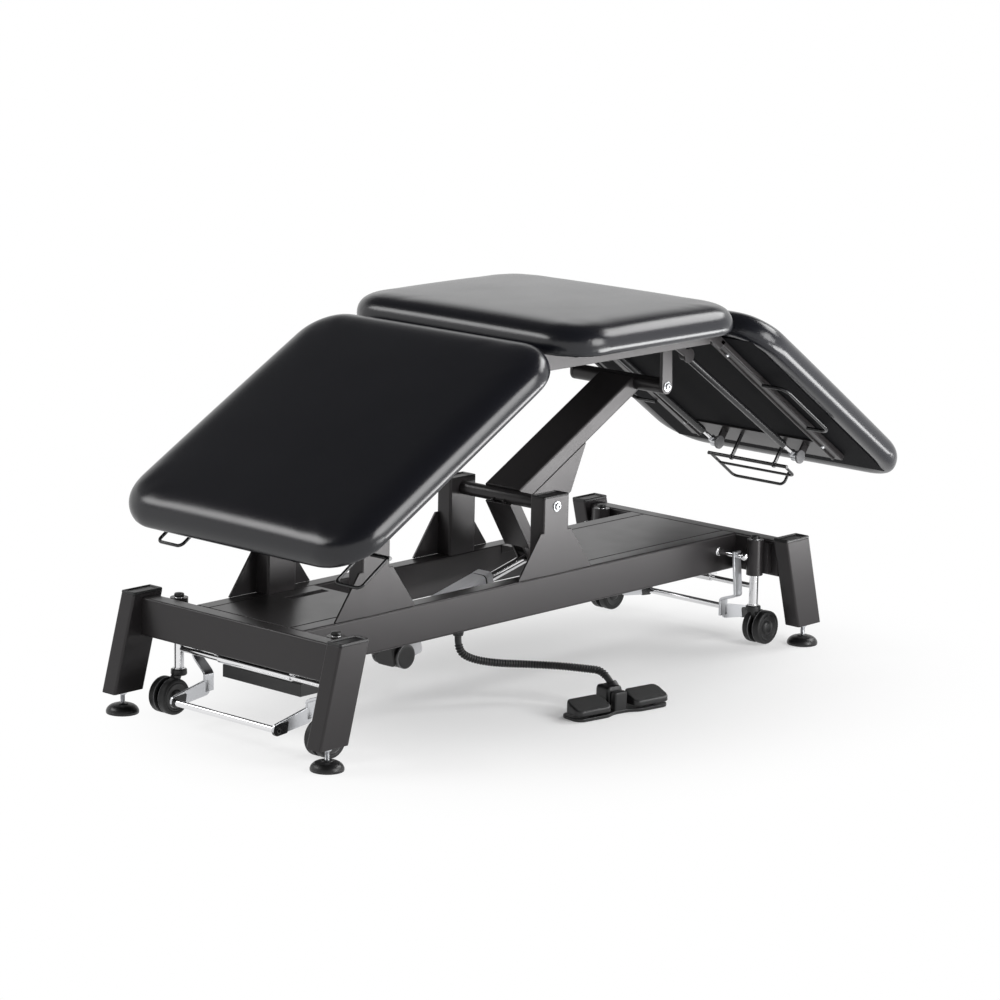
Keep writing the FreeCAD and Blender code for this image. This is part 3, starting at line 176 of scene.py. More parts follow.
class CouchStage(PropertyGroup):
    """Camera and light of the studio."""

    camera: FloatVectorProperty(
        name="Camera", default=(-5.68719, -5.21348, 1.98938), size=3, subtype="TRANSLATION",
        unit="LENGTH", description="Where the camera stands")
    yaw: angle_of("Yaw", 47.7915, "Turn of the view from +Y towards +X")
    pitch: angle_of("Pitch", 11.7388, "Fall of the view below level")
    roll: angle_of("Roll", 1.2119, "Roll of the view")
    lens: FloatProperty(name="Lens", default=134.27, unit="CAMERA", description="Focal length on a 36 mm frame")
    low: power_of("Low lamp", 235, "Panel on the floor ahead")
    front: power_of("Front lamp", 115, "Softbox ahead")
    side: power_of("Side lamp", 128, "Softbox on the right")
    rim: power_of("Rim lamp", 85, "Softbox behind on the left")
    lift: FloatProperty(name="Floor lift", default=0.16, min=0, description="White added to the floor as seen")


def sizes():
    return bpy.context.scene.couch_sizes


def tone(name, share=1.0):
    """One of the couch's colours, brighter or darker by a share."""
    return tuple(share * part for part in getattr(bpy.context.scene.couch_colours, name))


# Shader arithmetic


class Value:
    """One shader socket. Arithmetic on it adds Math nodes to its tree."""

    def __init__(self, paint, socket):
        self.paint = paint
        self.socket = socket

    def math(self, operation, first, second):
        return self.paint.node("ShaderNodeMath", {"operation": operation}, {0: first, 1: second})

    def __add__(self, other):
        return self.math("ADD", self, other)

    def __sub__(self, other):
        return self.math("SUBTRACT", self, other)

    def __rsub__(self, other):
        return self.math("SUBTRACT", other, self)

    def __mul__(self, other):
        return self.math("MULTIPLY", self, other)

    __radd__ = __add__
    __rmul__ = __mul__


class Paint:
    """One node tree under construction."""

    def __init__(self, tree):
        self.tree = tree

    def node(self, kind, settings=None, inputs=None, output=0):
        """Add a node: its settings first, then the values or links of its sockets."""
        made = self.tree.nodes.new(kind)
        for name, value in (settings or {}).items():
            if name == "stops":
                self.set_stops(made.color_ramp, value)
            else:
                setattr(made, name, value)
        for name, value in (inputs or {}).items():
            self.feed(made.inputs[name], value)
        return Value(self, made.outputs[output])

    def set_stops(self, ramp, stops):
        while len(ramp.elements) < len(stops):
            ramp.elements.new(1.0)
        for element, (place, level) in zip(ramp.elements, stops):
            element.position = place
            element.color = (level, level, level, 1)

    def feed(self, socket, value):
        if isinstance(value, Value):
            self.tree.links.new(value.socket, socket)
        elif socket.type == "RGBA" and len(value) == 3:
            socket.default_value = (*value, 1)
        else:
            socket.default_value = value

    def blend(self, share, first, second):
        """Colour between two others."""
        return self.node("ShaderNodeMix", {"data_type": "RGBA"}, {0: share, 6: first, 7: second}, 2)

    def place(self, stretch=(1, 1, 1)):
        """Object coordinates, stretched."""
        spot = self.node("ShaderNodeTexCoord", output="Object")
        return self.node("ShaderNodeMapping", None, {"Vector": spot, "Scale": stretch})

    def noise(self, per_metre, detail=3, where=None):
        where = where or self.place()
        return self.node("ShaderNodeTexNoise", None, {"Vector": where, "Scale": per_metre, "Detail": detail})

    def cells(self, per_metre):
        settings = {"feature": "SMOOTH_F1"}
        return self.node("ShaderNodeTexVoronoi", settings, {"Vector": self.place(), "Scale": per_metre})

    def wave(self, direction, per_metre):
        settings = {"bands_direction": direction}
        return self.node("ShaderNodeTexWave", settings, {"Vector": self.place(), "Scale": per_metre})

    def bump(self, height, depth, strength=1.0):
        inputs = {"Height": height, "Distance": depth, "Strength": strength}
        return self.node("ShaderNodeBump", None, inputs)


class Finish(Paint):
    """A material whose one shader takes fixed values and varying links."""

    def __init__(self, name):
        self.material = bpy.data.materials.new(name)
        self.material.use_nodes = True
        super().__init__(self.material.node_tree)
        self.shader = self.tree.nodes["Principled BSDF"]

    def set(self, **inputs):
        for name, value in inputs.items():
            socket = name.replace("_", " ").title().replace("Ior", "IOR")
            self.feed(self.shader.inputs[socket], value)
        return self.material


def paint_vinyl():
    """Satin vinyl: leather-like cells with finer pores, and a sheen that varies slowly."""
    paint = Finish("vinyl")
    patches = paint.noise(9, 2)
    grain = paint.cells(620) * 0.7 + paint.noise(1500, 2) * 0.3
    return paint.set(
        base_color=paint.blend(patches * 0.5, tone("vinyl"), tone("vinyl", 1.25)),
        roughness=patches * 0.05 + 0.215,
        normal=paint.bump(grain, 0.00022, 0.35),
    )


def paint_coat():
    """Powder coat: orange peel under a fine speckle."""
    paint = Finish("powder_coat")
    speckle = paint.noise(1400, 1)
    peel = paint.noise(420, 2) * 0.7 + speckle * 0.3
    return paint.set(
        base_color=paint.blend(speckle * 0.6, tone("coat", 0.88), tone("coat", 1.12)),
        specular_ior_level=0.36,
        roughness=paint.noise(14, 2) * 0.08 + 0.27,
        metallic=0.25,
        normal=paint.bump(peel, 0.00015, 0.3),
    )


def paint_plastic(name, colour, rough, per_metre):
    """Moulded plastic with a fine spark-eroded texture."""
    paint = Finish(name)
    texture = paint.noise(per_metre, 3)
    return paint.set(
        base_color=paint.blend(texture * 0.5, tone(colour), tone(colour, 1.3)),
        roughness=paint.noise(40, 2) * 0.1 + (rough - 0.05),
        normal=paint.bump(texture, 0.00015, 0.4),
    )


def paint_metal(name, rough, per_metre):
    """Plated metal with faint streaks along the couch and slow patches."""
    paint = Finish(name)
    streaks = paint.noise(per_metre, 2, paint.place((0.15, 1, 1)))
    return paint.set(
        base_color=paint.blend(streaks * 0.3, tone(name), tone(name, 0.86)),
        roughness=streaks * 0.08 + (rough - 0.04),
        metallic=1.0,
        normal=paint.bump(streaks, 0.00003, 0.25),
    )


def paint_gloss_black():
    """Stoved black enamel with a clear, slightly uneven surface."""
    paint = Finish("black_enamel")
    flow = paint.noise(160, 2)
    return paint.set(
        base_color=paint.blend(flow, (0.010, 0.010, 0.011), (0.016, 0.016, 0.017)),
        roughness=flow * 0.08 + 0.20,
        normal=paint.bump(flow, 0.00006, 0.3),
    )


def paint_lining():
    """Woven black lining over the boards: two crossed sets of threads."""
    paint = Finish("lining")
    weave = paint.wave("X", 190) * 0.5 + paint.wave("Y", 190) * 0.5
    return paint.set(
        base_color=paint.blend(weave, tone("lining", 0.7), tone("lining", 1.4)),
        specular_ior_level=0.08,
        roughness=weave * 0.1 + 0.7,
        normal=paint.bump(weave, 0.0003, 0.4),
    )


def paint_rubber_mat():
    """Fine ribbed rubber across the foot switch's pedals."""
    paint = Finish("rubber_mat")
    ribs = paint.wave("X", 75)
    return paint.set(
        base_color=paint.blend(ribs, (0.003, 0.003, 0.003), (0.007, 0.007, 0.007)),
        roughness=ribs * 0.08 + 0.58,
        normal=paint.bump(ribs, 0.0006, 0.6),
    )


FINISHES = {
    "vinyl": paint_vinyl,
    "coat": paint_coat,
    "plastic": lambda: paint_plastic("black_plastic", "plastic", 0.38, 1300),
    "tyre": lambda: paint_plastic("tyre", "tyre", 0.55, 900),
    "slate": lambda: paint_plastic("slate_plastic", "slate", 0.4, 900),
    "grey": lambda: paint_plastic("grey_plastic", "grey", 0.38, 1100),
    "hose": lambda: paint_plastic("hose_plastic", "plastic", 0.48, 800),
    "chrome": lambda: paint_metal("chrome", 0.12, 240),
    "zinc": lambda: paint_metal("zinc", 0.30, 900),
    "enamel": paint_gloss_black,
    "lining": paint_lining,
    "mat": paint_rubber_mat,
}
made_finishes = {}


def finish(name):
    """A finish's material, made when it is first asked for."""
    if name not in made_finishes:
        made_finishes[name] = FINISHES[name]()
    return made_finishes[name]


# Surfaces


def unit(vectors):
    """A vector, or each row of an array of them, at length one."""
    return vectors / np.linalg.norm(vectors, axis=-1, keepdims=True)


def turns(sides):
    """Angles of evenly spaced spokes."""
    return np.linspace(0, FULL_TURN, sides, endpoint=False)


def spokes(across, up, angle):
    """Directions at some angles in the plane of two square directions."""
    return np.cos(angle)[:, None] * across + np.sin(angle)[:, None] * up


def smooth_step(share):
    """S-curve from 0 to 1 that starts and ends level."""
    return share * share * (3 - 2 * share)


def loft(rings, closed=False):
    """Quads between neighbouring rings of points. The first and last ring are filled in, or joined if closed.

    Rings run counter-clockwise seen from ahead, so the faces point outwards.
    """
    count, around = rings.shape[:2]
    row = around * np.arange(count if closed else count - 1)[:, None]
    next_row = (row + around) % (count * around)
    here = np.arange(around)
    ahead = np.roll(here, -1)
    quads = np.stack([row + here, row + ahead, next_row + ahead, next_row + here], axis=-1)
    caps = [] if closed else [here[::-1], here + around * (count - 1)]
    return rings.reshape(-1, 3), quads.reshape(-1, 4), caps


def rounded_rectangle(width, height, radius, inset, points=CORNER_POINTS):
    """Outlines of a rectangle with arcs at its corners, one for each inset."""
    turn = (QUARTER * np.arange(4)[:, None] + np.linspace(0, QUARTER, points)).ravel()
    side_x = np.repeat([1, -1, -1, 1], points)
    side_y = np.repeat([1, 1, -1, -1], points)
    inset = np.atleast_1d(inset)[:, None]
    arc = np.maximum(radius - inset, LEAST_ARC)
    across = side_x * (width / 2 - inset - arc) + arc * np.cos(turn)
    along = side_y * (height / 2 - inset - arc) + arc * np.sin(turn)
    return np.stack([across, along], axis=-1)


def eased(length, edge):
    """Insets and stations of a bar's outlines, with a quarter round at each end."""
    turn = np.linspace(0, QUARTER, EDGE_POINTS)
    inset = edge * (1 - np.sin(turn))
    along = edge * (1 - np.cos(turn))
    return np.concatenate([inset, inset[::-1]]), np.concatenate([along, length - along[::-1]])


def stack(outlines, origin, across, up, steps):
    """Flat outlines set at an origin, each moved by its own step, and lofted."""
    points = outlines[..., :1] * across + outlines[..., 1:] * up
    return loft(origin + points + steps[:, None, :])


def bar(start, end, across, up, width, height, radius, edge):
    """Rounded rectangle carried straight from start to end, with eased ends."""
    run = end - start
    insets, along = eased(np.linalg.norm(run), edge)
    outlines = rounded_rectangle(width, height, radius, insets)
    return stack(outlines, start, across, up, along[:, None] * unit(run))


def block(low, high, radius, edge, axis=2):
    """Box between two corners, rounded along one axis and eased at its two ends."""
    low, high = np.array(low), np.array(high)
    first, second = (axis + 1) % 3, (axis + 2) % 3
    start = (low + high) / 2
    end = start.copy()
    start[axis], end[axis] = low[axis], high[axis]
    size = high - low
    return bar(start, end, np.eye(3)[first], np.eye(3)[second], size[first], size[second], radius, edge)


def rounded_outline(corners, radius, points=5):
    """Polygon whose corners become arcs, each centred on its corner's bisector."""
    corners = np.array(corners, float)
    back = unit(np.roll(corners, 1, axis=0) - corners)
    ahead = unit(np.roll(corners, -1, axis=0) - corners)
    half = np.arccos(np.clip((back * ahead).sum(axis=1), -1, 1)) / 2
    radius = np.broadcast_to(radius, len(corners))
    reach = (radius / np.tan(half))[:, None]
    centre = corners + unit(back + ahead) * (radius / np.sin(half))[:, None]
    first = corners + back * reach - centre
    last = corners + ahead * reach - centre
    begin = np.arctan2(first[:, 1], first[:, 0])
    sweep = np.arctan2(last[:, 1], last[:, 0]) - begin
    sweep = (sweep + math.pi) % FULL_TURN - math.pi
    angle = begin[:, None] + sweep[:, None] * np.linspace(0, 1, points)
    arc = np.stack([np.cos(angle), np.sin(angle)], axis=-1) * radius[:, None, None]
    return (centre[:, None] + arc).reshape(-1, 2)


def plate(outline, origin, across, up, thick, edge):
    """Counter-clockwise outline carried through a plate's thickness, drawn in at both faces."""
    insets, along = eased(thick, edge)
    ahead = unit(np.roll(outline, -1, axis=0) - outline)
    inward = np.stack([-ahead[:, 1], ahead[:, 0]], axis=-1)
    before = np.roll(inward, 1, axis=0)
    bisector = (inward + before) / (1 + (inward * before).sum(axis=1))[:, None]
    outlines = outline + insets[:, None, None] * bisector
    return stack(outlines, origin, across, up, along[:, None] * np.cross(across, up))


def six_sided(angle):
    """Radius of a hexagon of unit corner radius at an angle."""
    return math.cos(math.pi / 6) / np.cos(angle % (math.pi / 3) - math.pi / 6)


def turned(origin, axis, angle, along, reach, closed=False):
    """Rings about an axis: a station for each, and a reach for each of their angles."""
    across = unit(np.cross(axis, Z if abs(axis[2]) < 0.9 else X))
    around = spokes(across, np.cross(axis, across), angle)
    return loft(origin + along[:, None, None] * axis + reach[..., None] * around, closed)


def lathe(profile, origin, axis, sides=48, closed=False):
    """Circles about an axis, one for each (radius, station, hexagon share) of the profile."""
    profile = np.array([(*row, 0)[:3] for row in profile], float)
    radius, along, share = profile.T
    angle = turns(sides)
    reach = radius[:, None] * (1 + share[:, None] * (six_sided(angle) - 1))
    return turned(origin, axis, angle, along, reach, closed)


def rod(start, end, radius, edge=0.0008, sides=40):
    """Round bar with eased ends."""
    run = end - start
    insets, along = eased(np.linalg.norm(run), edge)
    return lathe(np.stack([radius - insets, along], axis=-1), start, unit(run), sides)


def pin(centre, half, radius, edge=0.0008):
    """Round bar across the couch, as long to each side of its centre."""
    return rod(centre - half * Y, centre + half * Y, radius, edge)


def directions(path):
    """Unit direction of a path at each of its points, from the points beside it."""
    return unit(np.gradient(path, axis=0))


def strap(path, across, width, thick, radius):
    """Flat bar carried along a path, its width kept along one fixed direction."""
    up = unit(np.cross(directions(path), across))
    outline = rounded_rectangle(width, thick, radius, 0)[0]
    rings = path[:, None] + outline[:, :1] * across + outline[None, :, 1:] * up[:, None]
    return loft(rings)


def tube(path, radii, steady, sides=20):
    """Circles along a path, their first spoke kept square to one fixed direction."""
    ahead = directions(path)
    across = unit(np.cross(steady, ahead))
    around = spokes(across[:, None], np.cross(ahead, across)[:, None], turns(sides))
    return loft(path[:, None] + radii[:, None, None] * around)


def threaded(origin, axis, radius, depth, pitch, length, sides=24):
    """Screw thread, six rings to a turn: the radius falls in a triangle wave of height less turn."""
    along = np.linspace(0, length, int(6 * length / pitch))
    angle = turns(sides)
    phase = (along[:, None] / pitch - angle / FULL_TURN) % 1
    return turned(origin, axis, angle, along, radius - depth * np.abs(2 * phase - 1))


def socket_bolt(origin, axis, radius, height):
    """Washer under a button head with a hexagon socket, in shares of its radius and height."""
    washer = [(1, 0, 0), (1, 0.2, 0), (0.96, 0.26, 0), (0.72, 0.26, 0)]
    head = [(0.72, 0.7, 0), (0.66, 0.9, 0), (0.56, 1, 0)]
    recess = [(0.36, 1, 1), (0.33, 0.92, 1), (0.33, 0.45, 1)]
    return lathe(np.array(washer + head + recess) * (radius, height, 1), origin, axis)


# Pieces


def link(name, mesh):
    piece = bpy.data.objects.new(name, mesh)
    bpy.context.scene.collection.objects.link(piece)
    return piece


def settle(piece, body, replaced):
    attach(piece, body)
    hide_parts(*replaced)
    return piece


def even_shading(piece):
    """Keep large flat faces flat beside their small rounded edges."""
    piece.data.shade_smooth()
    piece.data.set_sharp_from_angle(angle=math.radians(40))
    piece.modifiers.new("Even shading", "WEIGHTED_NORMAL").keep_sharp = True


class Shells:
    """Closed surfaces that become one piece, each with its own finish."""

    def __init__(self):
        self.points = []
        self.faces = []
        self.finishes = []

    def add(self, shell, name):
        points, quads, caps = shell
        start = sum(map(len, self.points))
        self.points.append(points)
        self.faces += (quads + start).tolist()
        self.faces += [(cap + start).tolist() for cap in caps]
        self.finishes += [name] * (len(quads) + len(caps))

    def mesh(self, name):
        mesh = bpy.data.meshes.new(name)
        mesh.from_pydata(np.concatenate(self.points), [], self.faces)
        names = list(dict.fromkeys(self.finishes))
        for used in names:
            mesh.materials.append(finish(used))
        mesh.polygons.foreach_set("material_index", [names.index(used) for used in self.finishes])
        return mesh

    def make(self, name, body, slot, *replaced):
        piece = link(name, self.mesh(name))
        even_shading(piece)
        return settle(piece, body, replaced)


def box_of(node):
    return np.array(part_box(node))


def joint(name):
    return next(row for row in frame["joints"] if row["name"] == name)


def joint_point(name):
    return np.array(joint(name)["pos_m"])


def joint_axis(name):
    return np.array(joint(name)["axis"])


def tube_size():
    """Width and height of the frame's square tube."""
    low, high = box_of("rail_near")
    return (high - low)[1:]


def section_frame(label):
    """Axes of an end section as rows, and its hinge: X outward along it, Z up from its boards."""
    tilt = getattr(sizes(), label + "_tilt")
    end = ENDS[label]
    along = np.array([end * math.cos(tilt), 0, -math.sin(tilt)])
    across = end * Y
    return np.stack([along, across, np.cross(along, across)]), joint_point(label + "_tilt")


def read_points(mesh):
    points = np.empty(3 * len(mesh.vertices), np.float32)
    mesh.vertices.foreach_get("co", points)
    return points.reshape(-1, 3).astype(float)


def write_points(mesh, points):
    mesh.vertices.foreach_set("co", points.astype(np.float32).ravel())


def node_points(node, axes=np.eye(3), origin=0):
    """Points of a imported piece, measured along axes from an origin."""
    return (read_points(frame["nodes"][node].data) - origin) @ axes.T


def eased_copy(node, name, edge):
    """Copy of a frame piece, its triangles merged into whole faces and its edges eased."""
    source = frame["nodes"][node]
    mesh = source.data.copy()
    form = bmesh.new()
    form.from_mesh(mesh)
    bmesh.ops.remove_doubles(form, verts=form.verts, dist=1e-6)
    bmesh.ops.dissolve_limit(form, angle_limit=math.radians(0.5), verts=form.verts, edges=form.edges)
    form.to_mesh(mesh)
    form.free()
    mesh.materials.clear()
    mesh.materials.append(finish(name))
    piece = link(node + "_eased", mesh)
    if edge:
        bevel = piece.modifiers.new("Eased edges", "BEVEL")
        bevel.width = edge
        bevel.segments = 2
        bevel.limit_method = "ANGLE"
        bevel.angle_limit = math.radians(40)
    even_shading(piece)
    return settle(piece, source["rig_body"], [node])


# Cushions


def cushion_cover(length, width, thick):
    """Flat-topped cushion, underside at Z 0 and X from 0: outlines from the board's recess, round a small lower
    arc and up a quarter of a superellipse."""
    size = sizes()
    low = size.pad_edge
    turn = np.linspace(0, QUARTER, 9)[1:]
    lower_inset = low * (1 - np.sin(turn))
    lower_height = low * (1 - np.cos(turn))
    turn = np.linspace(0, QUARTER, 30)[1:]
    dome_inset = size.pad_dome * (1 - np.cos(turn) ** size.pad_fullness)
    dome_height = low + (thick - low) * np.sin(turn) ** size.pad_fullness
    recess_inset = np.array([0.30, 0.052, 0.047, 0.042, 0.030])
    recess_height = np.array([0.009, 0.009, 0.006, 0.0005, 0.0002])
    insets = np.concatenate([recess_inset, lower_inset, dome_inset]) + size.pad_slack
    heights = np.concatenate([recess_height, lower_height, dome_height])
    outlines = rounded_rectangle(length, width, size.pad_corner, insets, 24)
    middle = np.array([length / 2, 0, 0])
    return stack(outlines, middle, X, Y, heights[:, None] * Z)


def crown(piece, length, width, thick):
    """Raise a cushion's middle by the product of two parabolas, fading out down its shoulder."""
    points = read_points(piece.data)
    along = 1 - (2 * points[:, 0] / length - 1) ** 2
    across = 1 - (2 * points[:, 1] / width) ** 2
    share = np.clip((points[:, 2] - sizes().pad_edge) / (thick - sizes().pad_edge), 0, 1)
    points[:, 2] += sizes().pad_crown * smooth_step(share) * np.sqrt(np.clip(along * across, 0, 1))
    write_points(piece.data, points)


def finished_mesh(piece):
    """A piece's mesh with its modifiers applied."""
    graph = bpy.context.evaluated_depsgraph_get()
    return bpy.data.meshes.new_from_object(piece.evaluated_get(graph))


def swap_mesh(piece, mesh):
    old = piece.data
    piece.modifiers.clear()
    piece.data = mesh
    bpy.data.meshes.remove(old)


def even_mesh(piece):
    """Cover the form in faces of one width that lie on it."""
    form = link(piece.name + "_form", piece.data.copy())
    remesh = piece.modifiers.new("Even faces", "REMESH")
    remesh.mode = "VOXEL"
    remesh.voxel_size = sizes().pad_voxel
    piece.modifiers.new("On the form", "SHRINKWRAP").target = form
    swap_mesh(piece, finished_mesh(piece))
    mesh = form.data
    bpy.data.objects.remove(form)
    bpy.data.meshes.remove(mesh)


def fill(piece, held_below):
    """Blow a cover up as cloth, held where it lies on its board, and cap how far a point moves."""
    rest = read_points(piece.data)
    held = piece.vertex_groups.new(name="held")
    held.add(np.flatnonzero(rest[:, 2] < held_below).tolist(), 1.0, "REPLACE")
    cloth = piece.modifiers.new("Filling", "CLOTH")
    cloth.settings.use_pressure = True
    cloth.settings.uniform_pressure_force = 4
    cloth.settings.effector_weights.gravity = 0
    cloth.settings.vertex_group_mass = "held"
    cloth.settings.tension_stiffness = 40
    cloth.settings.compression_stiffness = 40
    for step in range(1, 21):
        bpy.context.scene.frame_set(step)
    blown = finished_mesh(piece)
    moved = read_points(blown) - rest
    reach = np.linalg.norm(moved, axis=1)[:, None]
    cap = sizes().pad_swell
    points = rest + moved * np.minimum(1, cap / np.maximum(reach, 1e-9))
    write_points(blown, points)
    swap_mesh(piece, blown)
    bpy.context.scene.frame_set(1)


def smooth_cover(piece):
    """Relax the cover and give it one subdivision."""
    relax = piece.modifiers.new("Relaxed", "SMOOTH")
    relax.factor = 0.5
    relax.iterations = 12
    finer = piece.modifiers.new("Finer", "SUBSURF")
    finer.levels = finer.render_levels = 1
    swap_mesh(piece, finished_mesh(piece))


def make_cushion(label, axes, origin, body):
    """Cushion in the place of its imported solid, made flat and then set on its axes."""
    node = label + "_pad"
    local = node_points(node, axes, origin)
    low, high = local.min(axis=0), local.max(axis=0)
    thick = high[2] - low[2] - sizes().pad_loss
    length, width = (high - low)[:2]
    shells = Shells()
    shells.add(cushion_cover(length, width, thick), "vinyl")
    piece = link(label + "_cushion", shells.mesh(label + "_cushion"))
    even_mesh(piece)
    crown(piece, length, width, thick)
    fill(piece, held_below=0.012)
    smooth_cover(piece)
    flat = read_points(piece.data) + [low[0], 0, low[2]]
    write_points(piece.data, origin + flat @ axes)
    piece.data.materials.clear()
    piece.data.materials.append(finish("vinyl"))
    piece.data.shade_smooth()
    settle(piece, body, [node])


class COUCH_OT_cushions(Operator):
    """Make the three filled cushions"""

    bl_idname = "couch.cushions"
    bl_label = "Cushions"

    def execute(self, context):
        make_cushion("seat", np.eye(3), np.zeros(3), "upper")
        for label in ENDS:
            axes, origin = section_frame(label)
            make_cushion(label, axes, origin, label + "_section")
        return {"FINISHED"}


# Base


class COUCH_OT_base_tubes(Operator):
    """Make the rails, beams and splayed legs of square tube, with their caps"""

    bl_idname = "couch.base_tubes"
    bl_label = "Base tubes"

    def execute(self, context):
        corner = sizes().tube_round
        for side in SIDES:
            shells = Shells()
            shells.add(block(*box_of("rail_" + side), corner, 0.0004, axis=0), "coat")
            shells.make(side + "_rail", "base", "graphite", "rail_" + side)
        for end in ENDS:
            shells = Shells()
            shells.add(block(*box_of("beam_" + end), corner, 0.0004, axis=1), "coat")
            shells.make(end + "_beam", "base", "graphite", "beam_" + end)
            self.legs(end)
        self.caps()
        return {"FINISHED"}

    def legs(self, end):
        """Level rounded rectangles that step outwards on the way down."""
        low, high = box_of("legs_" + end)
        depth, width = tube_size()
        outward = ENDS[end]
        edges = (high[0], low[0]) if outward > 0 else (low[0], high[0])
        shells = Shells()
        for side in SIDES.values():
            y = side * (high[1] - depth / 2)
            foot = np.array([edges[0] - outward * width / 2, y, low[2]])
            top = np.array([edges[1] + outward * width / 2, y, high[2]])
            insets, along = eased(high[2] - low[2], 0.001)
            outlines = rounded_rectangle(width, depth, sizes().tube_round, insets)
            steps = along[:, None] * (top - foot) / (high[2] - low[2])
            shells.add(stack(outlines, foot, X, Y, steps), "coat")
        shells.make(end + "_legs", "base", "graphite", "legs_" + end)

    def caps(self):
        """Plugs on the legs and posts: a rim round a shallow dish."""
        points = node_points("tube_caps")
        depth, width = tube_size()
        rail_middle = box_of("rail_far")[:, 1].mean()
        leg_high, post_high = box_of("legs_left")[1][2], box_of("posts_left")[1][2]
        spots = []
        for end, outward in ENDS.items():
            top = points[points[:, 0] * outward > box_of("beam_right")[0][0] - width]
            leg_x = (top[:, 0].min() + top[:, 0].max()) / 2
            spots.append((leg_x, box_of("legs_" + end)[1][1] - depth / 2, leg_high, top[:, 2].max()))
            spots.append((joint_point(PIVOTS[end])[0], rail_middle, post_high, points[:, 2].max()))
        insets = np.array([0.0006, 0, 0, 0.0006, 0.0018, 0.0045, 0.006, 0.010])
        outlines = rounded_rectangle(width, depth, sizes().tube_round, insets)
        rim = np.array([-0.0018, -0.0006, 0, 0, -0.0022, -0.0024])
        shells = Shells()
        for x, y, low, high in spots:
            steps = np.concatenate([[0, 0.0006], high - low + rim])[:, None] * Z
            for side in SIDES.values():
                shells.add(stack(outlines, np.array([x, side * y, low]), X, Y, steps), "plastic")
        shells.make("plugs", "base", "black_plastic", "tube_caps")


class COUCH_OT_posts(Operator):
    """Make the posts with their gussets"""

    bl_idname = "couch.posts"
    bl_label = "Posts"

    def execute(self, context):
        size = sizes()
        rail_inner, rail_outer = box_of("rail_far")[:, 1]
        width = tube_size()[1]
        for end in ENDS:
            low, high = box_of("posts_" + end)
            post_x = joint_point(PIVOTS[end])[0]
            foot, tip = high[0] - post_x, width / 2 + size.gusset_tip
            shells = Shells()
            for side in SIDES.values():
                inner, outer = sorted((side * rail_inner, side * rail_outer))
                corner = np.array([post_x - width / 2, inner, low[2]])
                far = np.array([post_x + width / 2, outer, high[2]])
                shells.add(block(corner, far, size.tube_round, 0.0004), "coat")
                face = outer if side > 0 else inner + size.gusset_plate
                for way in ENDS.values():
                    inside = way * (width / 2 - size.tube_round)
                    corners = [(inside, 0), (way * foot, 0)]
                    corners += [(way * tip, size.gusset_height), (inside, size.gusset_height)]
                    outline = rounded_outline(corners[::way], 0.0015)
                    start = np.array([post_x, face, low[2]])
                    shells.add(plate(outline, start, X, Z, size.gusset_plate, size.plate_edge), "coat")
            shells.make(end + "_posts", "base", "graphite", "posts_" + end)
        return {"FINISHED"}


class COUCH_OT_feet(Operator):
    """Make the levelling feet: a domed pad, a threaded stem and a lock nut"""

    bl_idname = "couch.feet"
    bl_label = "Levelling feet"

    def execute(self, context):
        for end in ENDS:
            leg_bottom = box_of("legs_" + end)[0][2]
            for side in SIDES:
                self.foot(f"{end}_{side}", leg_bottom)
        return {"FINISHED"}

    def foot(self, label, leg_bottom):
        low, high = box_of("foot_" + label)
        radius = (high[0] - low[0]) / 2
        centre = np.array([*(low + high)[:2] / 2, 0])
        rise = np.linspace(0, 1, 9)
        dome = 0.38 * radius + 0.62 * radius * np.sqrt(1 - rise ** 1.6)
        pad = [(0.9 * radius, 0), (0.985 * radius, 0.0008), (radius, 0.0022), (radius, 0.0058)]
        pad += list(zip(dome * 0.985, 0.0064 + 0.0136 * rise))
        pad += [(0.34 * radius, 0.0215), (0.2 * radius, 0.0219)]
        nut_top = leg_bottom - 0.0003
        nut = [(0.0084, 0, 1), (0.0095, 0.0008, 1), (0.0095, 0.0058, 1), (0.0084, 0.0066, 1)]
        shells = Shells()
        shells.add(lathe(pad, centre, Z, 64), "plastic")
        shells.add(threaded(centre + 0.020 * Z, Z, 0.005, 0.0007, 0.0015, high[2] - 0.020), "zinc")
        shells.add(lathe(nut, centre + (nut_top - 0.0068) * Z, Z), "zinc")
        shells.make("level_" + label, "foot_" + label, "black_plastic", "foot_" + label)


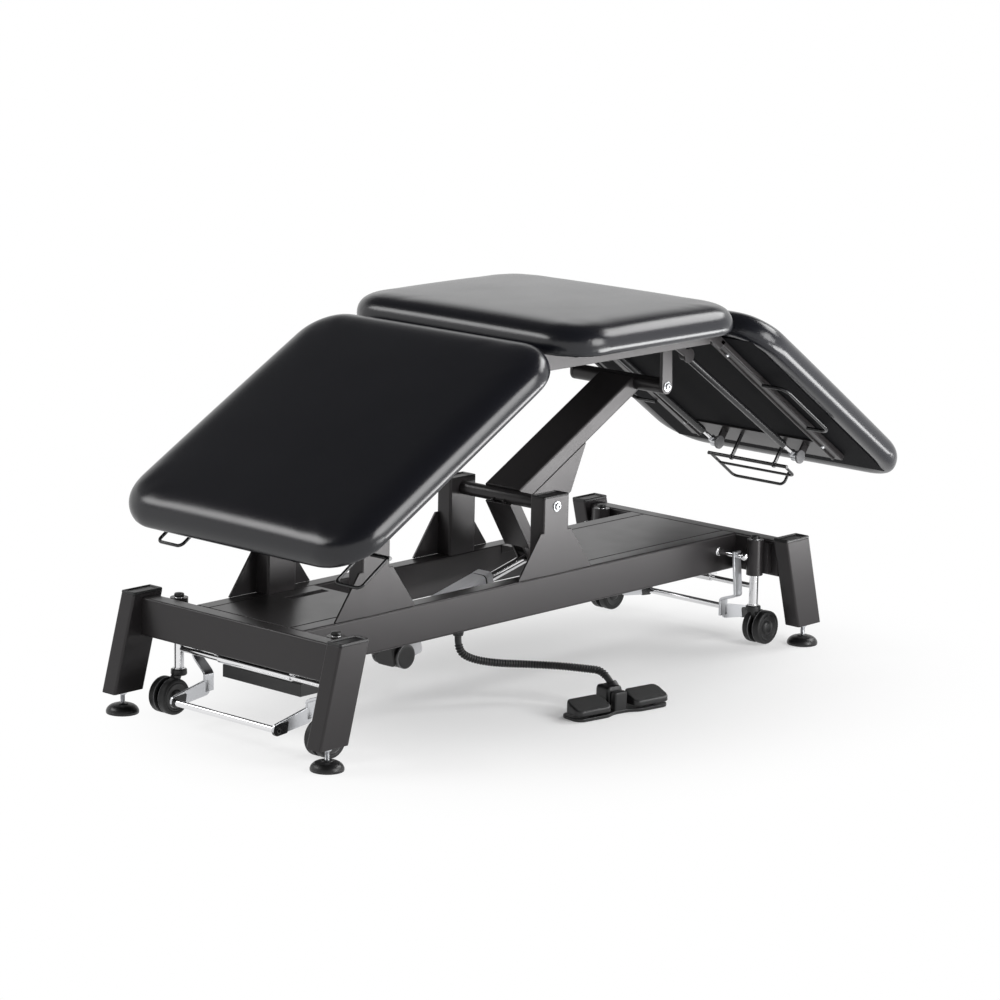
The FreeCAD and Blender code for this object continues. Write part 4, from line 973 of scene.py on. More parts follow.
class COUCH_OT_castors(Operator):
    """Make the twin wheels with their treads, rings and hubs, and the hoods between them"""

    bl_idname = "couch.castors"
    bl_label = "Castors"

    def execute(self, context):
        for end in ENDS:
            for side in SIDES:
                self.wheels(f"{end}_{side}")
                self.hood(f"{end}_{side}")
        return {"FINISHED"}

    def wheels(self, label):
        low, high = box_of("wheel_" + label)
        axle = (low + high) / 2
        radius = (high[2] - low[2]) / 2
        half = (high[1] - low[1]) / 2
        inner = half - 0.020
        turn = np.linspace(0, QUARTER, 6)
        shells = Shells()
        shells.add(pin(axle, inner + 0.004, 0.005), "zinc")
        tread = [(radius - 0.008, 0.0010), (radius - 0.007, 0), (radius - 0.003, 0), (radius - 0.0006, 0.0012)]
        tread += [(radius, 0.004)]
        tread += list(zip(radius - 0.0045 * (1 - np.cos(turn)), 0.0135 + 0.0045 * np.sin(turn)))
        tread += [(radius - 0.0062, 0.0182), (radius - 0.0080, 0.0172)]
        hub = [(0.010, 0.0002), (radius - 0.0084, 0.0002), (radius - 0.0079, 0.0168), (radius - 0.0090, 0.0180)]
        hub += [(0.0265, 0.0182), (0.0250, 0.0170), (0.0160, 0.0158), (0.0150, 0.0172)]
        hub += [(0.0125, 0.0192), (0.008, 0.0198), (0.003, 0.0199)]
        ring = [(radius - 0.0012, 0.0006), (radius + 0.00005, 0.0012), (radius + 0.00005, 0.0021)]
        ring += [(radius - 0.0012, 0.0027)]
        for way in SIDES.values():
            start = axle + way * inner * Y
            shells.add(lathe(tread, start, way * Y, 72, closed=True), "tyre")
            shells.add(lathe(hub, start, way * Y, 72), "plastic")
            shells.add(lathe(ring, start, way * Y, 72, closed=True), "slate")
        shells.make("castor_" + label, "wheel_" + label, "castor_wheel", "wheel_" + label)

    def hood(self, label):
        """Socket under the stem, and a web between the wheels that follows them round."""
        stud_top = box_of("hood_" + label)[1][2]
        axle = joint_point(label + "_roll")
        stem = joint_point(label + "_swivel")
        trail = axle[0] - stem[0]
        way = np.sign(trail)
        web = 0.010
        collar = [(0.010, 0), (0.0155, 0.0006), (0.017, 0.003), (0.0165, 0.0118)]
        collar += [(0.0155, 0.0126), (0.006, 0.0128)]
        top = stem + 0.0004 * Z
        angle = np.linspace(-0.25 * math.pi, 1.25 * math.pi, 40)
        disc = 0.027 * np.stack([np.cos(angle), np.sin(angle)], axis=-1)
        neck = np.array([(-way * trail - 0.008, 0.046), (-way * trail + 0.013, 0.046)])
        rim = disc[(disc[:, 1] < 0.018) | (disc[:, 0] > 0)]
        split = np.argmax(rim[:, 0] < 0)
        outline = np.concatenate([rim[:split], neck[::-1], rim[split:]])
        shells = Shells()
        shells.add(lathe(collar, top - 0.0128 * Z, Z), "plastic")
        shells.add(rod(top - 0.004 * Z, np.array([*stem[:2], stud_top]), 0.005), "zinc")
        shells.add(plate(outline, axle + way * web / 2 * Y, way * X, Z, web, 0.0012), "plastic")
        shells.make("castor_hood_" + label, "hood_" + label, "black_plastic", "hood_" + label)


class COUCH_OT_stems(Operator):
    """Make the castor stems with their black tops, and the rod that ties each pair together"""

    bl_idname = "couch.stems"
    bl_label = "Castor stems"

    def execute(self, context):
        for end in ENDS:
            low, high = box_of("stems_" + end)
            x = (low[0] + high[0]) / 2
            radius = (high[0] - low[0]) / 2
            reach = high[1] - radius
            ring = [(radius - 0.001, 0.0002), (0.0130, 0.0002), (0.0134, 0.0010), (0.0134, 0.0026)]
            ring += [(0.0106, 0.0034)]
            cap = [(0.0098, 0), (0.0103, 0.0006), (0.0103, 0.0052), (0.0094, 0.0070)]
            cap += [(0.0060, 0.0079), (0.002, 0.0081)]
            shells = Shells()
            for side in SIDES.values():
                foot = np.array([x, side * reach, low[2]])
                seam = np.array([x, side * reach, high[2] - 0.003])
                shells.add(rod(foot, seam, radius, 0.001), "chrome")
                shells.add(lathe(ring, foot, Z), "chrome")
                shells.add(lathe(cap, seam, Z), "plastic")
            tie = np.array([x, 0, sizes().tie_height])
            for half, thick in ((reach, 0.006), (0.104, 0.0085)):
                shells.add(pin(tie, half, thick), "chrome")
            shells.make(end + "_stem_pair", "stems_" + end, "chrome", "stems_" + end)
        return {"FINISHED"}


class COUCH_OT_pedals(Operator):
    """Make the castor pedals: shaft, bent straps, feet and bar"""

    bl_idname = "couch.pedals"
    bl_label = "Castor pedals"

    def execute(self, context):
        for end in ENDS:
            self.pedal(end)
        return {"FINISHED"}

    def pedal(self, end):
        way = ENDS[end]
        out = way * X
        low, high = box_of("pedal_" + end)
        shaft = joint_point(end + "_pedal_press")
        rail_face = box_of("rail_far")[1][1]
        reach = high[1]
        pedal_x = (high[0] if way > 0 else -low[0]) - 0.012
        pedal = np.array([way * pedal_x, 0, low[2] + 0.012])
        shells = Shells()
        shells.add(pin(shaft, reach - 0.006, 0.0055), "chrome")
        turn = np.linspace(0, QUARTER, 7)
        collar = [(0.0058, 0), (0.0096, 0), (0.010, 0.0006), (0.010, 0.0020)]
        collar += list(zip(0.0062 + 0.0038 * np.cos(turn), 0.0020 + 0.0032 * np.sin(turn)))
        turn = np.linspace(0.7, 3.1, 12)
        knob = [(0.0054, 0), *zip(0.0085 * np.sin(turn), 0.0065 - 0.0085 * np.cos(turn))]
        toe_reach = sizes().toe_reach
        for side in SIDES.values():
            across = side * Y
            shells.add(lathe(collar, shaft + (rail_face + 0.0003) * across, across), "chrome")
            shells.add(lathe(knob, shaft + (reach - 0.015) * across, across), "chrome")
            self.strap(shells, shaft, across, out)
            self.finger(shells, shaft + sizes().finger_reach * across, out)
            screw = pedal + (toe_reach + 0.0032) * across
            shells.add(socket_bolt(screw, across, 0.0075, 0.0035), "enamel")
            self.toe(shells, pedal + toe_reach * across, out)
        shells.add(pin(pedal, toe_reach - 0.001, 0.007, 0.0012), "chrome")
        shells.make(end + "_pedal", "pedal_" + end, "chrome", "pedal_" + end)

    def strap(self, shells, shaft, across, out):
        """Flat bar that leans out from the shaft and steps in on an S-curve, and the foot that it lands on."""
        rise = np.linspace(0, 1, 16)[:, None]
        outer, inner = sizes().strap_reach * across, sizes().toe_reach * across
        upper = shaft + outer + 0.009 * Z
        high = np.array([shaft[0], 0, 0.119]) + outer + 0.010 * out
        low = np.array([shaft[0], 0, 0.091]) + inner + 0.034 * out
        bend = low + (high - low) * smooth_step(rise)
        bend[:, 2] = low[2] + (high[2] - low[2]) * rise[:, 0]
        path = np.concatenate([[low - 0.034 * Z], bend, [upper]])
        shells.add(strap(path, X, 0.025, 0.006, 0.0015), "zinc")
        corners = np.array([(0.035, 0.050), (0.141, 0.037), (0.141, 0.061), (0.035, 0.084)])
        corners[:, 0] += shaft[0] * out[0] - 0.003
        outline = rounded_outline(corners, (0.012, 0.0118, 0.0118, 0.006), 9)
        shells.add(plate(outline, inner - 0.003 * np.cross(out, Z), out, Z, 0.006, 0.0012), "zinc")

    def toe(self, shells, centre, out):
        """Black cover over the foot's outer end, round the bar."""
        corners = np.array([(-0.026, -0.009), (0.0118, -0.0122), (0.0118, 0.0122), (-0.030, 0.0155)])
        outline = rounded_outline(corners, (0.004, 0.0115, 0.0115, 0.004), 9)
        shells.add(plate(outline, centre - 0.0036 * np.cross(out, Z), out, Z, 0.0072, 0.001), "enamel")

    def finger(self, shells, top, out):
        """Plate that leans from the shaft onto the stems' cross rod."""
        corners = [(-0.011, 0), (0.0325, -0.0675), (0.0545, -0.0675), (0.011, 0.006), (-0.006, 0.006)]
        outline = rounded_outline(corners, 0.002)
        shells.add(plate(outline, top - 0.004 * np.cross(out, Z), out, Z, 0.008, 0.001), "chrome")


# Lift


class COUCH_OT_lift_arms(Operator):
    """Make the lift arms with their pivots, web plates, crank and bolts"""

    bl_idname = "couch.lift_arms"
    bl_label = "Lift arms"

    def execute(self, context):
        run = joint_point("upper_level") - joint_point("lift")
        for end in ENDS:
            pivot = joint_point(PIVOTS[end])
            shells = Shells()
            self.arm(shells, pivot, run)
            if end == "right":
                self.webs(shells, pivot, run)
                self.crank(shells, pivot)
            shells.make(end + "_arm", "arm_" + end, "graphite", "arm_" + end)
        return {"FINISHED"}

    def arm(self, shells, pivot, run):
        size = sizes()
        along = unit(run)
        up = np.cross(along, Y)
        rail_low, rail_high = box_of("rail_far")[:, 1]
        top = pivot + run
        start, end = pivot + 0.0075 * along, top - 0.0085 * along
        shells.add(bar(start, end, Y, up, size.arm_width, size.arm_height, 0.005, 0.001), "coat")
        shells.add(pin(pivot, rail_low - 0.0005, 0.015), "coat")
        shells.add(pin(top, size.hanger_reach - 0.0005, 0.017), "coat")
        for across in (-Y, Y):
            shells.add(socket_bolt(pivot + (rail_high + 0.0003) * across, across, 0.011, 0.006), "zinc")
            shells.add(socket_bolt(top + (size.hanger_reach + 0.0083) * across, across, 0.011, 0.006), "zinc")

    def webs(self, shells, pivot, run):
        """Plates under the arm, deepest at the pivot end of their span."""
        along = unit(run)
        up = np.cross(along, Y)
        corners = [(0.132, -0.085), (0.140, -0.085), (0.232, -0.017), (0.015, -0.017)]
        outline = rounded_outline(corners, 0.002)
        for side in SIDES.values():
            face = side * (sizes().arm_width / 2 - 0.0025) + 0.0025
            shells.add(plate(outline, pivot + face * Y, along, up, 0.005, 0.001), "coat")

    def crank(self, shells, pivot):
        """Two plates with round ends, from the pivot to the actuator's rod, under one wide face plate."""
        stroke, rear = joint_axis("actuator_stroke"), joint_point("actuator_swing")
        eye_radius = 0.015
        eye = rear + (node_points("actuator_rod", stroke[None], rear).max() - eye_radius) * stroke
        along = unit(eye - pivot)
        up = np.cross(along, Y)
        reach = np.linalg.norm(eye - pivot)
        corners = [(-0.004, -0.020), (reach + 0.020, -0.020), (reach + 0.020, 0.020), (-0.004, 0.020)]
        outline = rounded_outline(corners, (0.002, 0.0198, 0.0198, 0.002), 11)
        face = pivot - 0.0185 * up
        start, end = face + 0.004 * along, face + (reach - 0.044) * along
        shells.add(bar(start, end, Y, up, 0.072, 0.005, 0.001, 0.0008), "coat")
        for side in SIDES.values():
            face = side * 0.0155 + 0.003
            shells.add(plate(outline, pivot + face * Y, along, up, 0.006, 0.001), "coat")
            shells.add(socket_bolt(eye + side * 0.0185 * Y, side * Y, 0.013, 0.005), "zinc")


class COUCH_OT_actuator(Operator):
    """Make the actuator's housing, gear case and motor"""

    bl_idname = "couch.actuator"
    bl_label = "Actuator"

    # Neck, gear cover, gear case, body, groove and nose, each with its
    # start, end, drop, width, height, corner, edge and finish
    bars = (
        (0.012, 0.040, 0, 0.022, 0.022, 0.004, 0.001, "grey"),
        (0.034, 0.078, 0.0195, 0.058, 0.083, 0.012, 0.004, "plastic"),
        (0.076, 0.120, 0.0195, 0.060, 0.085, 0.012, 0.004, "grey"),
        (0.034, 0.340, 0, 0.045, 0.045, 0.009, 0.002, "grey"),
        (0.338, 0.346, 0, 0.042, 0.042, 0.009, 0.0005, "plastic"),
        (0.344, 0.362, 0, 0.0458, 0.0458, 0.009, 0.002, "grey"),
    )

    def execute(self, context):
        along = joint_axis("actuator_stroke")
        up = np.cross(along, Y)
        rear = joint_point("actuator_swing")
        shells = Shells()
        shells.add(pin(rear, 0.012, 0.015), "grey")
        for start, end, drop, *section, name in self.bars:
            middle = rear - drop * up
            shells.add(bar(middle + start * along, middle + end * along, Y, up, *section), name)
        gaiter = [(0.014, 0), (0.0142, 0.0035), (0.0125, 0.0045), (0.0103, 0.0048)]
        shells.add(lathe(gaiter, rear + 0.360 * along, along), "plastic")
        motor = rear + 0.062 * along - 0.044 * up
        ribs = np.linspace(-0.034, 0.034, 69)
        radii = 0.0252 + 0.0006 * np.cos(FULL_TURN * ribs / 0.008)
        profile = [(0.020, -0.040), (0.0245, -0.0385), *zip(radii, ribs), (0.0245, 0.0385), (0.020, 0.040)]
        shells.add(lathe(profile, motor, Y, 64), "plastic")
        for side in SIDES.values():
            rim = [(0.0252, 0.0335), (0.026, 0.034), (0.026, 0.0375), (0.0250, 0.0382)]
            shells.add(lathe(rim, motor, side * Y, 64), "slate")
        shells.make("actuator_case", "actuator_body", "grey_plastic", "actuator_body")
        return {"FINISHED"}


# Foot switch and hose


class COUCH_OT_foot_switch(Operator):
    """Make the foot switch: a waisted base, its bridge and two ribbed pedals"""

    bl_idname = "couch.foot_switch"
    bl_label = "Foot switch"

    def execute(self, context):
        across = joint_axis("switch_left_press")
        back = np.cross(Z, across)
        hinge = joint_point("switch_left_press")
        points = node_points("switch_base")
        side = points[points[:, 2] < 0.004] @ across
        origin = (side.min() + side.max()) / 2 * across + (hinge @ back - 0.009) * back
        self.base(origin, across, back)
        for end, way in ENDS.items():
            self.pedal(end, way, origin, across, back)
        return {"FINISHED"}

    def base(self, origin, across, back):
        """Two lobes joined by a waist, with the bridge and the hose's socket on it."""
        half, depth = 0.1235, 0.032
        lobe = rounded_outline([(-half, -depth), (half, -depth), (half, depth), (-half, depth)], 0.020, 9)
        side = np.linspace(-0.09, 0.09, 37)
        waist = depth - 0.011 * np.exp(-(side / 0.034) ** 4)
        front = np.stack([side, -waist], axis=-1)
        rear = np.stack([side[::-1], waist[::-1]], axis=-1)
        corners = lobe.reshape(4, -1, 2)
        outline = np.concatenate([corners[0], front, corners[1], corners[2], rear, corners[3]])
        shells = Shells()
        shells.add(plate(outline, origin, across, back, 0.007, 0.0016), "plastic")
        tall = rounded_rectangle(0.040, 0.044, 0.008, np.array([0.0006, 0, 0, 0.0008, 0.003, 0.007]))
        tall_heights = np.array([0.002, 0.003, 0.043, 0.048, 0.0515, 0.053])
        tab = rounded_rectangle(0.034, 0.016, 0.005, np.array([0.0006, 0, 0, 0.0015, 0.004]))
        tab_heights = np.array([0.002, 0.003, 0.041, 0.0445, 0.0455])
        for shift, outlines, heights in ((0.021, tall, tall_heights), (-0.012, tab, tab_heights)):
            shells.add(stack(outlines, origin + shift * back, across, back, heights[:, None] * Z), "plastic")
        before, last = np.array(HOSE_ROUTE[-2:])
        inward = unit(last - before)
        sleeve = [(0.0088, 0), (0.0108, 0), (0.0118, 0.0012), (0.012, 0.004), (0.012, 0.026)]
        shells.add(lathe(sleeve, last, inward), "plastic")
        screw = origin + 0.0125 * across + 0.026 * back + 0.0526 * Z
        shells.add(socket_bolt(screw, Z, 0.0042, 0.0022), "zinc")
        shells.make("switch_case", "base", "black_plastic", "switch_base")

    def pedal(self, end, way, origin, across, back):
        """Rounded pad whose top rises towards the back, under a ribbed mat."""
        wide, deep = 0.0925, 0.049
        centre = origin + way * (0.031 + wide / 2) * across - 0.0075 * back
        shells = Shells()
        levels = (
            ("plastic", (0.002, 0.0004, 0, 0, 0.0012, 0.0035), (0, 0.06, 0.12, 0.80, 0.93, 0.98)),
            ("mat", (0.0045, 0.0036, 0.0036, 0.0042, 0.006), (0.90, 0.92, 0.985, 0.998, 1.0)),
        )
        for name, insets, shares in levels:
            outlines = rounded_rectangle(wide, deep, 0.015, insets)
            height = 0.0095 + 0.0205 * (outlines[..., 1] + deep / 2) / deep
            flat = outlines[..., :1] * across + outlines[..., 1:] * back
            rings = centre + flat + (0.012 + height * np.array(shares)[:, None])[..., None] * Z
            shells.add(loft(rings), name)
        hinge = joint_point("switch_left_press")
        pivot = hinge + ((origin - hinge) @ across) * across
        shells.add(rod(pivot + way * 0.0105 * across, pivot + way * 0.036 * across, 0.003), "zinc")
        shells.make("switch_toe_" + end, "switch_pedal_" + end, "black_plastic", "switch_pedal_" + end)


def hose_line():
    """Points of one smooth NURBS line that the route controls."""
    curve = bpy.data.curves.new("hose_line", "CURVE")
    curve.dimensions = "3D"
    curve.resolution_u = 24
    spline = curve.splines.new("NURBS")
    spline.points.add(len(HOSE_ROUTE) - 1)
    spline.points.foreach_set("co", np.c_[np.array(HOSE_ROUTE), np.ones(len(HOSE_ROUTE))].ravel())
    spline.order_u = 3
    spline.use_endpoint_u = True
    carrier = bpy.data.objects.new("hose_line", curve)
    mesh = bpy.data.meshes.new_from_object(carrier)
    points = read_points(mesh)
    bpy.data.objects.remove(carrier)
    bpy.data.curves.remove(curve)
    bpy.data.meshes.remove(mesh)
    return points


class COUCH_OT_hose(Operator):
    """Make the ribbed hose to the foot switch, and its gland under the rail"""

    bl_idname = "couch.hose"
    bl_label = "Hose"

    def execute(self, context):
        size = sizes()
        line = hose_line()
        travelled = np.r_[0, np.cumsum(np.linalg.norm(np.diff(line, axis=0), axis=1))]
        length = travelled[-1]
        steps = np.linspace(0, length, 8 * size.hose_ribs + 1)
        path = np.stack([np.interp(steps, travelled, line[:, axis]) for axis in range(3)], axis=-1)
        wave = np.clip(0.5 - 0.9 * np.cos(FULL_TURN * size.hose_ribs * steps / length), 0, 1)
        plain = np.minimum(steps, length - steps) < 2 * size.hose_radius
        radii = size.hose_root + (size.hose_radius - size.hose_root) * np.where(plain, 0.2, wave)
        shells = Shells()
        shells.add(tube(path, radii, unit(np.array([1.0, 0.4, 0.1]))), "hose")
        piece = shells.make("ribbed_hose", "base", "hose", "hose")
        self.gland()
        return {"FINISHED"}

    def gland(self):
        """Hexagon under the rail that narrows to the hose."""
        low, high = box_of("hose_gland")
        centre = (low + high) / 2
        top = np.array([centre[0], centre[1], high[2]])
        profile = [(0.0125, 0, 1), (0.013, 0.0006, 1), (0.013, 0.0052, 1), (0.0115, 0.006), (0.0112, 0.0085)]
        profile += [(0.0104, 0.0105), (0.0092, 0.011), (0.0086, 0.0104)]
        shells = Shells()
        shells.add(lathe(profile, top, -Z), "plastic")
        shells.make("hose_nut", "base", "black_plastic", "hose_gland")


# Small fittings and the rest of the frame


class COUCH_OT_section_rails(Operator):
    """Make the end sections' rails with their hinge ears, and the right rails' screws"""

    bl_idname = "couch.section_rails"
    bl_label = "Section rails"

    def execute(self, context):
        for label in ENDS:
            self.rails(label)
        self.screws()
        return {"FINISHED"}

    def rails(self, label):
        """Flat channels under the boards, and round-ended ears out to the hinge."""
        axes, hinge = section_frame(label)
        local = node_points(label + "_rails", axes, hinge)
        face, length = local[:, 1].max(), local[:, 0].max()
        corners = [(-0.014, -0.014), (0.058, -0.014), (0.066, 0.0095), (-0.014, 0.014)]
        outline = rounded_outline(corners, (0.0130, 0.004, 0.001, 0.0130), 9)
        shells = Shells()
        for side in SIDES.values():
            middle = np.array([0, side * (face - 0.0145), 0.0035])
            start = hinge + (middle + 0.050 * X) @ axes
            end = hinge + (middle + length * X) @ axes
            shells.add(bar(start, end, axes[1], axes[2], 0.029, 0.013, 0.0025, 0.002), "coat")
            lip = hinge + np.array([0.050, side * (face - 0.0245), -0.0045]) @ axes
            tip = lip + (length - 0.052) * axes[0]
            shells.add(bar(lip, tip, axes[1], axes[2], 0.005, 0.005, 0.0015, 0.001), "coat")
            outer = side * face + (0.004 if side < 0 else 0)
            origin = hinge + outer * axes[1]
            shells.add(plate(outline, origin, axes[0], axes[2], 0.004, 0.0008), "coat")
        shells.make(label + "_channels", label + "_section", "graphite", label + "_rails")

    def screws(self):
        axes, hinge = section_frame("right")
        local = node_points("right_screws", axes, hinge)
        low, high = local.min(axis=0) + 0.005, local.max(axis=0) - 0.005
        shells = Shells()
        for x in (low[0], high[0]):
            for y in (low[1], high[1]):
                spot = hinge + np.array([x, y, -0.0028]) @ axes
                shells.add(socket_bolt(spot, -axes[2], 0.0065, 0.0035), "zinc")
        shells.make("rail_screws", "right_section", "chrome", "right_screws")


class COUCH_OT_cross_plates(Operator):
    """Make the end sections' cross plates: a sheet, the springs' round brackets and the release's slim lugs"""

    bl_idname = "couch.cross_plates"
    bl_label = "Cross plates"

    def execute(self, context):
        for label in ENDS:
            axes, hinge = section_frame(label)
            local = node_points(label + "_cross", axes, hinge)
            low, high = local.min(axis=0), local.max(axis=0)
            release = (joint_point(label + "_release_squeeze") - hinge) @ axes.T
            foot = node_points(label + "_gas_rods", axes, hinge)
            spring = np.abs(foot[:, 1]).max() - 0.008
            eye = np.array([foot[:, 0].max() - 0.012, 0, foot[:, 2].min() + 0.012])
            start = hinge + np.array([low[0], 0, high[2] - 0.002]) @ axes
            end = start + (high[0] - low[0]) * axes[0]
            shells = Shells()
            shells.add(bar(start, end, axes[1], axes[2], high[1] - low[1], 0.004, 0.0015, 0.001), "coat")
            for side in SIDES.values():
                self.bracket(shells, axes, hinge, eye, side * spring, high[2])
                self.lug(shells, axes, hinge, release, side * sizes().lug_reach, high[2])
            shells.make(label + "_cross_sheet", label + "_section", "graphite", label + "_cross")
        return {"FINISHED"}

    def bracket(self, shells, axes, hinge, eye, spring, top):
        """Neck down from the sheet, and a pale disc beside the spring's eye."""
        centre = hinge + (eye + spring * Y) @ axes - 0.0085 * Y
        disc = [(0.014, 0), (0.0155, 0.0004), (0.016, 0.0012), (0.016, 0.0048)]
        disc += [(0.0150, 0.0058), (0.006, 0.006)]
        shells.add(lathe(disc, centre, -Y), "slate")
        neck = centre - 0.003 * Y
        reach = neck + (top - eye[2] - 0.003) * axes[2]
        shells.add(bar(neck, reach, axes[0], axes[1], 0.022, 0.0056, 0.001, 0.0005), "coat")

    def lug(self, shells, axes, hinge, release, across, top):
        foot = hinge + (release + across * Y) @ axes
        shells.add(pin(foot, 0.003, 0.0068), "enamel")
        reach = foot + (top - release[2] - 0.003) * axes[2]
        shells.add(bar(foot, reach, axes[0], axes[1], 0.009, 0.005, 0.001, 0.0005), "enamel")


class COUCH_OT_gas_springs(Operator):
    """Make the gas springs: enamelled cylinders, bright rods and their eyes"""

    bl_idname = "couch.gas_springs"
    bl_label = "Gas springs"

    def execute(self, context):
        for label in ENDS:
            along = joint_axis(label + "_gas_stroke")
            top = joint_point(label + "_gas_swing")
            tube_end, rod_end = (
                node_points(label + kind, np.stack([along, Y]), top).max(axis=0)
                for kind in ("_gas_cylinders", "_gas_rods"))
            self.cylinders(label, along, top, tube_end[0], tube_end[1] - 0.011)
            self.rods(label, along, top, rod_end[0] - 0.012, rod_end[1] - 0.008)
        return {"FINISHED"}

    def cylinders(self, label, along, top, reach, middle):
        eye_end = [(0.0055, 0.010), (0.0055, 0.0185), (0.0068, 0.020), (0.0085, 0.0225)]
        groove = [(0.0085, -0.022), (0.0082, -0.021), (0.0082, -0.0195), (0.0085, -0.0185)]
        rod_end = [(0.0085, -0.004), (0.0078, -0.0015), (0.0056, 0)]
        profile = eye_end + [(radius, reach + back) for radius, back in groove + rod_end]
        shells = Shells()
        for side in SIDES.values():
            eye = top + side * middle * Y
            shells.add(lathe(profile, eye, along, 32), "enamel")
            shells.add(pin(eye, 0.0075, 0.0115, 0.001), "coat")
        shells.make(label + "_spring_tubes", label + "_gas_cylinders", "black_metal", label + "_gas_cylinders")

    def rods(self, label, along, top, reach, middle):
        shells = Shells()
        for side in SIDES.values():
            start = top + side * middle * Y
            eye = start + reach * along
            shells.add(rod(start + (reach - 0.190) * along, eye - 0.008 * along, 0.0048), "chrome")
            nut = [(0.0080, 0, 1), (0.0088, 0.0008, 1), (0.0088, 0.0065, 1), (0.0080, 0.0072, 1)]
            shells.add(lathe(nut, eye - 0.0215 * along, along), "zinc")
            shells.add(pin(eye, 0.0078, 0.0118, 0.0012), "zinc")
        shells.make(label + "_spring_rods", label + "_gas_rods", "chrome", label + "_gas_rods")


EASED_EDGE = 0.0007
WIRES = ("left_release", "right_release", "right_grips")
EASED = {
    "coat": (
        "tray_left", "tray_right", "castor_sleeves", "actuator_mount", "upper_rails", "upper_cross_tubes",
        "arm_hangers"),
    "plastic": ("control_box",),
    "chrome": ("actuator_rod",),
    "enamel": WIRES,
    "lining": ("left_board", "seat_board", "right_board"),
}


class COUCH_OT_plain_pieces(Operator):
    """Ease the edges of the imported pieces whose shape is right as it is"""

    bl_idname = "couch.plain_pieces"
    bl_label = "Plain pieces"

    def execute(self, context):
        for name, nodes in EASED.items():
            for node in nodes:
                eased_copy(node, name, 0 if nodes is WIRES else EASED_EDGE)
        return {"FINISHED"}


# Stage


def softbox(name, place, aim, width, height, power):
    """Rectangular lamp turned towards a point."""
    lamp = bpy.data.lights.new(name, "AREA")
    lamp.shape = "RECTANGLE"
    lamp.size = width
    lamp.size_y = height
    lamp.energy = power
    piece = link(name, lamp)
    away = unit(np.array(place, float) - np.array(aim, float))
    side = unit(np.cross(Z, away)) if abs(away[2]) < 0.99 else X
    turn = np.eye(4)
    turn[:3, :3] = np.stack([side, np.cross(away, side), away], axis=-1)
    turn[:3, 3] = place
    piece.matrix_world = Matrix(turn.tolist())
    piece.visible_camera = False


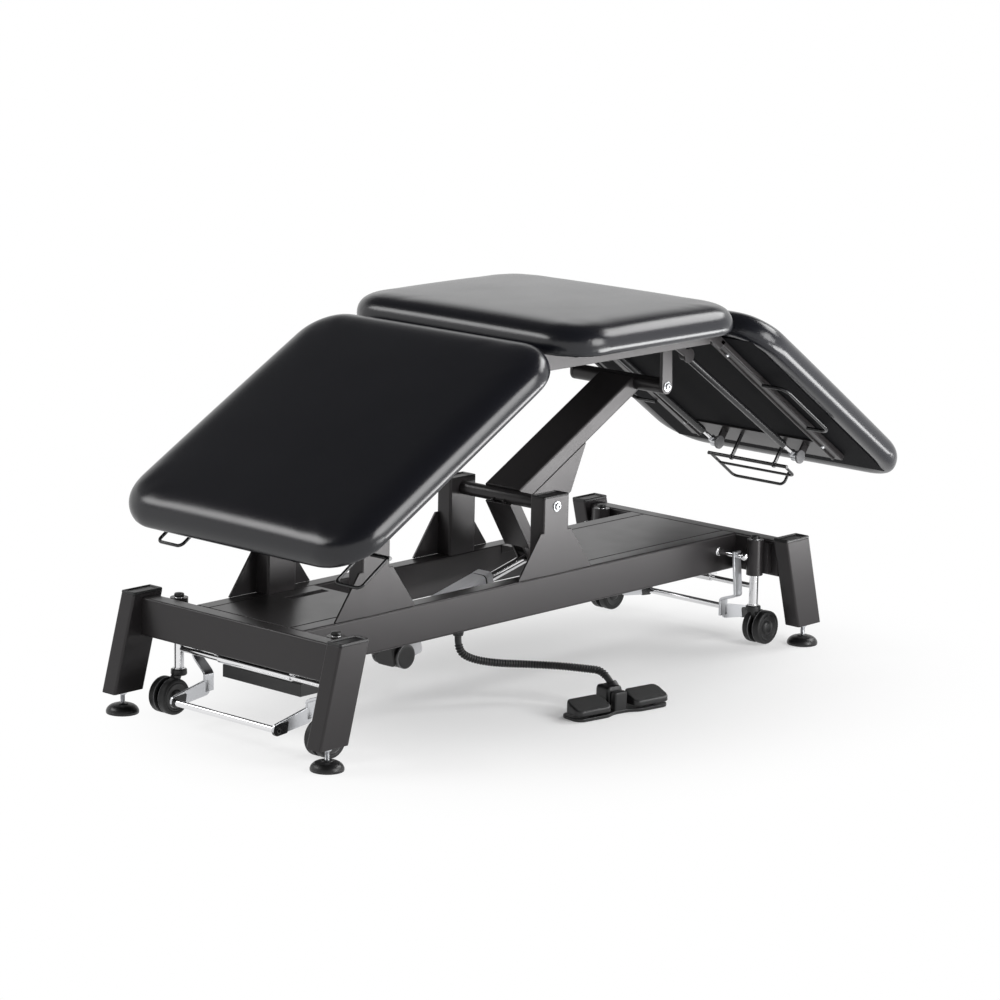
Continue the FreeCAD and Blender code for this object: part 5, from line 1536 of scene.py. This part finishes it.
class COUCH_OT_stage(Operator):
    """Make the floor, the soft light and the camera"""

    bl_idname = "couch.stage"
    bl_label = "Stage"

    def execute(self, context):
        context.scene.view_settings.view_transform = "Standard"
        self.floor()
        self.world(context.scene)
        stage = context.scene.couch_stage
        for name, lamp in LAMPS.items():
            softbox(name + "_lamp", *lamp, getattr(stage, name))
        self.camera(context.scene, stage)
        return {"FINISHED"}

    def floor(self):
        """White floor: lit plainly with a small lift, and plain white outside an oval round the couch where the
        camera or a glossy surface sees it; inside the oval it keeps the grey of its lighting, a painted shade
        round and ahead of the couch on top of its real shadow.
        """
        corners = 40 * np.array([(-1, -1, 0), (1, -1, 0), (1, 1, 0), (-1, 1, 0)], float)
        mesh = bpy.data.meshes.new("floor")
        mesh.from_pydata(corners - 0.0002 * Z, [], [(0, 1, 2, 3)])
        floor = link("floor", mesh)
        paint = Finish("studio_floor")
        paint.set(base_color=tone("floor"), roughness=0.9, specular_ior_level=0.0)
        seen = self.seen(paint)
        lift = bpy.context.scene.couch_stage.lift
        lit = Value(paint, paint.shader.outputs["BSDF"])
        veil = paint.node("ShaderNodeEmission", None, {"Color": (lift, lift, lift)})
        lifted = paint.node("ShaderNodeAddShader", None, {0: lit, 1: veil})
        white = paint.node("ShaderNodeEmission", None, {"Color": (1, 1, 1)})
        # Painted shade: inside an oval round a spot just ahead of the couch's middle the floor keeps its lit
        # grey plus the lift, and outside it turns to plain white, so a soft grey halo is painted round the
        # couch.
        spot = paint.node("ShaderNodeTexCoord", output="Object")
        painted_shade_oval = {"Vector": spot, "Scale": (0.62, 0.85, 0), "Location": (-0.06, 0.17, 0)}
        squeezed = paint.node("ShaderNodeMapping", None, painted_shade_oval)
        away = paint.node("ShaderNodeVectorMath", {"operation": "LENGTH"}, {0: squeezed}, output="Value")
        ramp = {"interpolation_type": "SMOOTHSTEP"}
        far = paint.node("ShaderNodeMapRange", ramp, {"Value": away, "From Min": 0.15, "From Max": 0.72})
        floor_with_painted_shade = paint.node("ShaderNodeMixShader", None, {0: far, 1: lifted, 2: white})
        surface = paint.node("ShaderNodeMixShader", None, {0: seen, 1: lit, 2: floor_with_painted_shade})
        paint.feed(paint.tree.nodes["Material Output"].inputs["Surface"], surface)
        mesh.materials.append(paint.material)

    def seen(self, paint):
        """1 where the camera or a glossy surface sees the stage, 0 where it only lights."""
        camera = paint.node("ShaderNodeLightPath", output="Is Camera Ray")
        glossy = paint.node("ShaderNodeLightPath", output="Is Glossy Ray")
        clear = paint.node("ShaderNodeLightPath", output="Is Transmission Ray")
        settings = {"operation": "ADD", "use_clamp": True}
        return paint.node("ShaderNodeMath", settings, {0: camera + glossy, 1: clear})

    def world(self, scene):
        """White at the horizon, falling to a dim grey overhead."""
        world = scene.world or bpy.data.worlds.new("studio")
        scene.world = world
        world.use_nodes = True
        paint = Paint(world.node_tree)
        way = paint.node("ShaderNodeTexCoord", output="Generated")
        rise = paint.node("ShaderNodeSeparateXYZ", None, {"Vector": way}, output="Z")
        stops = ((0.0, 1.0), (0.34, 1.0), (0.55, 0.10), (1.0, 0.06))
        sky = paint.node("ShaderNodeValToRGB", {"stops": stops}, {"Fac": rise})
        paint.feed(paint.tree.nodes["Background"].inputs["Color"], sky)

    def camera(self, scene, stage):
        """Camera whose back axis, right and up come from its yaw, pitch and roll."""
        ahead = np.array([
            math.sin(stage.yaw) * math.cos(stage.pitch),
            math.cos(stage.yaw) * math.cos(stage.pitch),
            -math.sin(stage.pitch)])
        right = np.array([math.cos(stage.yaw), -math.sin(stage.yaw), 0])
        up = np.cross(right, ahead)
        turned_right = math.cos(stage.roll) * right + math.sin(stage.roll) * up
        turned_up = math.cos(stage.roll) * up - math.sin(stage.roll) * right
        data = bpy.data.cameras.new("camera")
        data.lens = stage.lens
        data.sensor_width = 36
        data.clip_end = 200
        camera = link("camera", data)
        place = np.eye(4)
        place[:3, :3] = np.stack([turned_right, turned_up, -ahead], axis=-1)
        place[:3, 3] = stage.camera
        camera.matrix_world = Matrix(place.tolist())
        scene.camera = camera


OPERATORS = (
    COUCH_OT_hose,
    COUCH_OT_cushions,
    COUCH_OT_base_tubes,
    COUCH_OT_posts,
    COUCH_OT_feet,
    COUCH_OT_castors,
    COUCH_OT_stems,
    COUCH_OT_pedals,
    COUCH_OT_lift_arms,
    COUCH_OT_actuator,
    COUCH_OT_foot_switch,
    COUCH_OT_section_rails,
    COUCH_OT_cross_plates,
    COUCH_OT_gas_springs,
    COUCH_OT_plain_pieces,
    COUCH_OT_stage,
)


class COUCH_PT_panel(Panel):
    """Buttons that make the couch's pieces"""

    bl_label = "Treatment Couch"
    bl_space_type = "VIEW_3D"
    bl_region_type = "UI"
    bl_category = "Couch"

    def draw(self, context):
        for group in (context.scene.couch_sizes, context.scene.couch_colours, context.scene.couch_stage):
            column = self.layout.column()
            for name in group.__annotations__:
                column.prop(group, name)
        for operator in OPERATORS:
            self.layout.operator(operator.bl_idname)


GROUPS = {"couch_sizes": CouchSizes, "couch_colours": CouchColours, "couch_stage": CouchStage}


def register():
    for item in (*GROUPS.values(), *OPERATORS, COUCH_PT_panel):
        bpy.utils.register_class(item)
    for name, group in GROUPS.items():
        setattr(bpy.types.Scene, name, PointerProperty(type=group))


def unregister():
    for name in GROUPS:
        delattr(bpy.types.Scene, name)
    for item in (COUCH_PT_panel, *reversed(OPERATORS), *GROUPS.values()):
        bpy.utils.unregister_class(item)


def main():
    register()
    for operator in OPERATORS:
        getattr(bpy.ops.couch, operator.bl_idname.split(".")[1])()


if __name__ == "__main__":
    main()
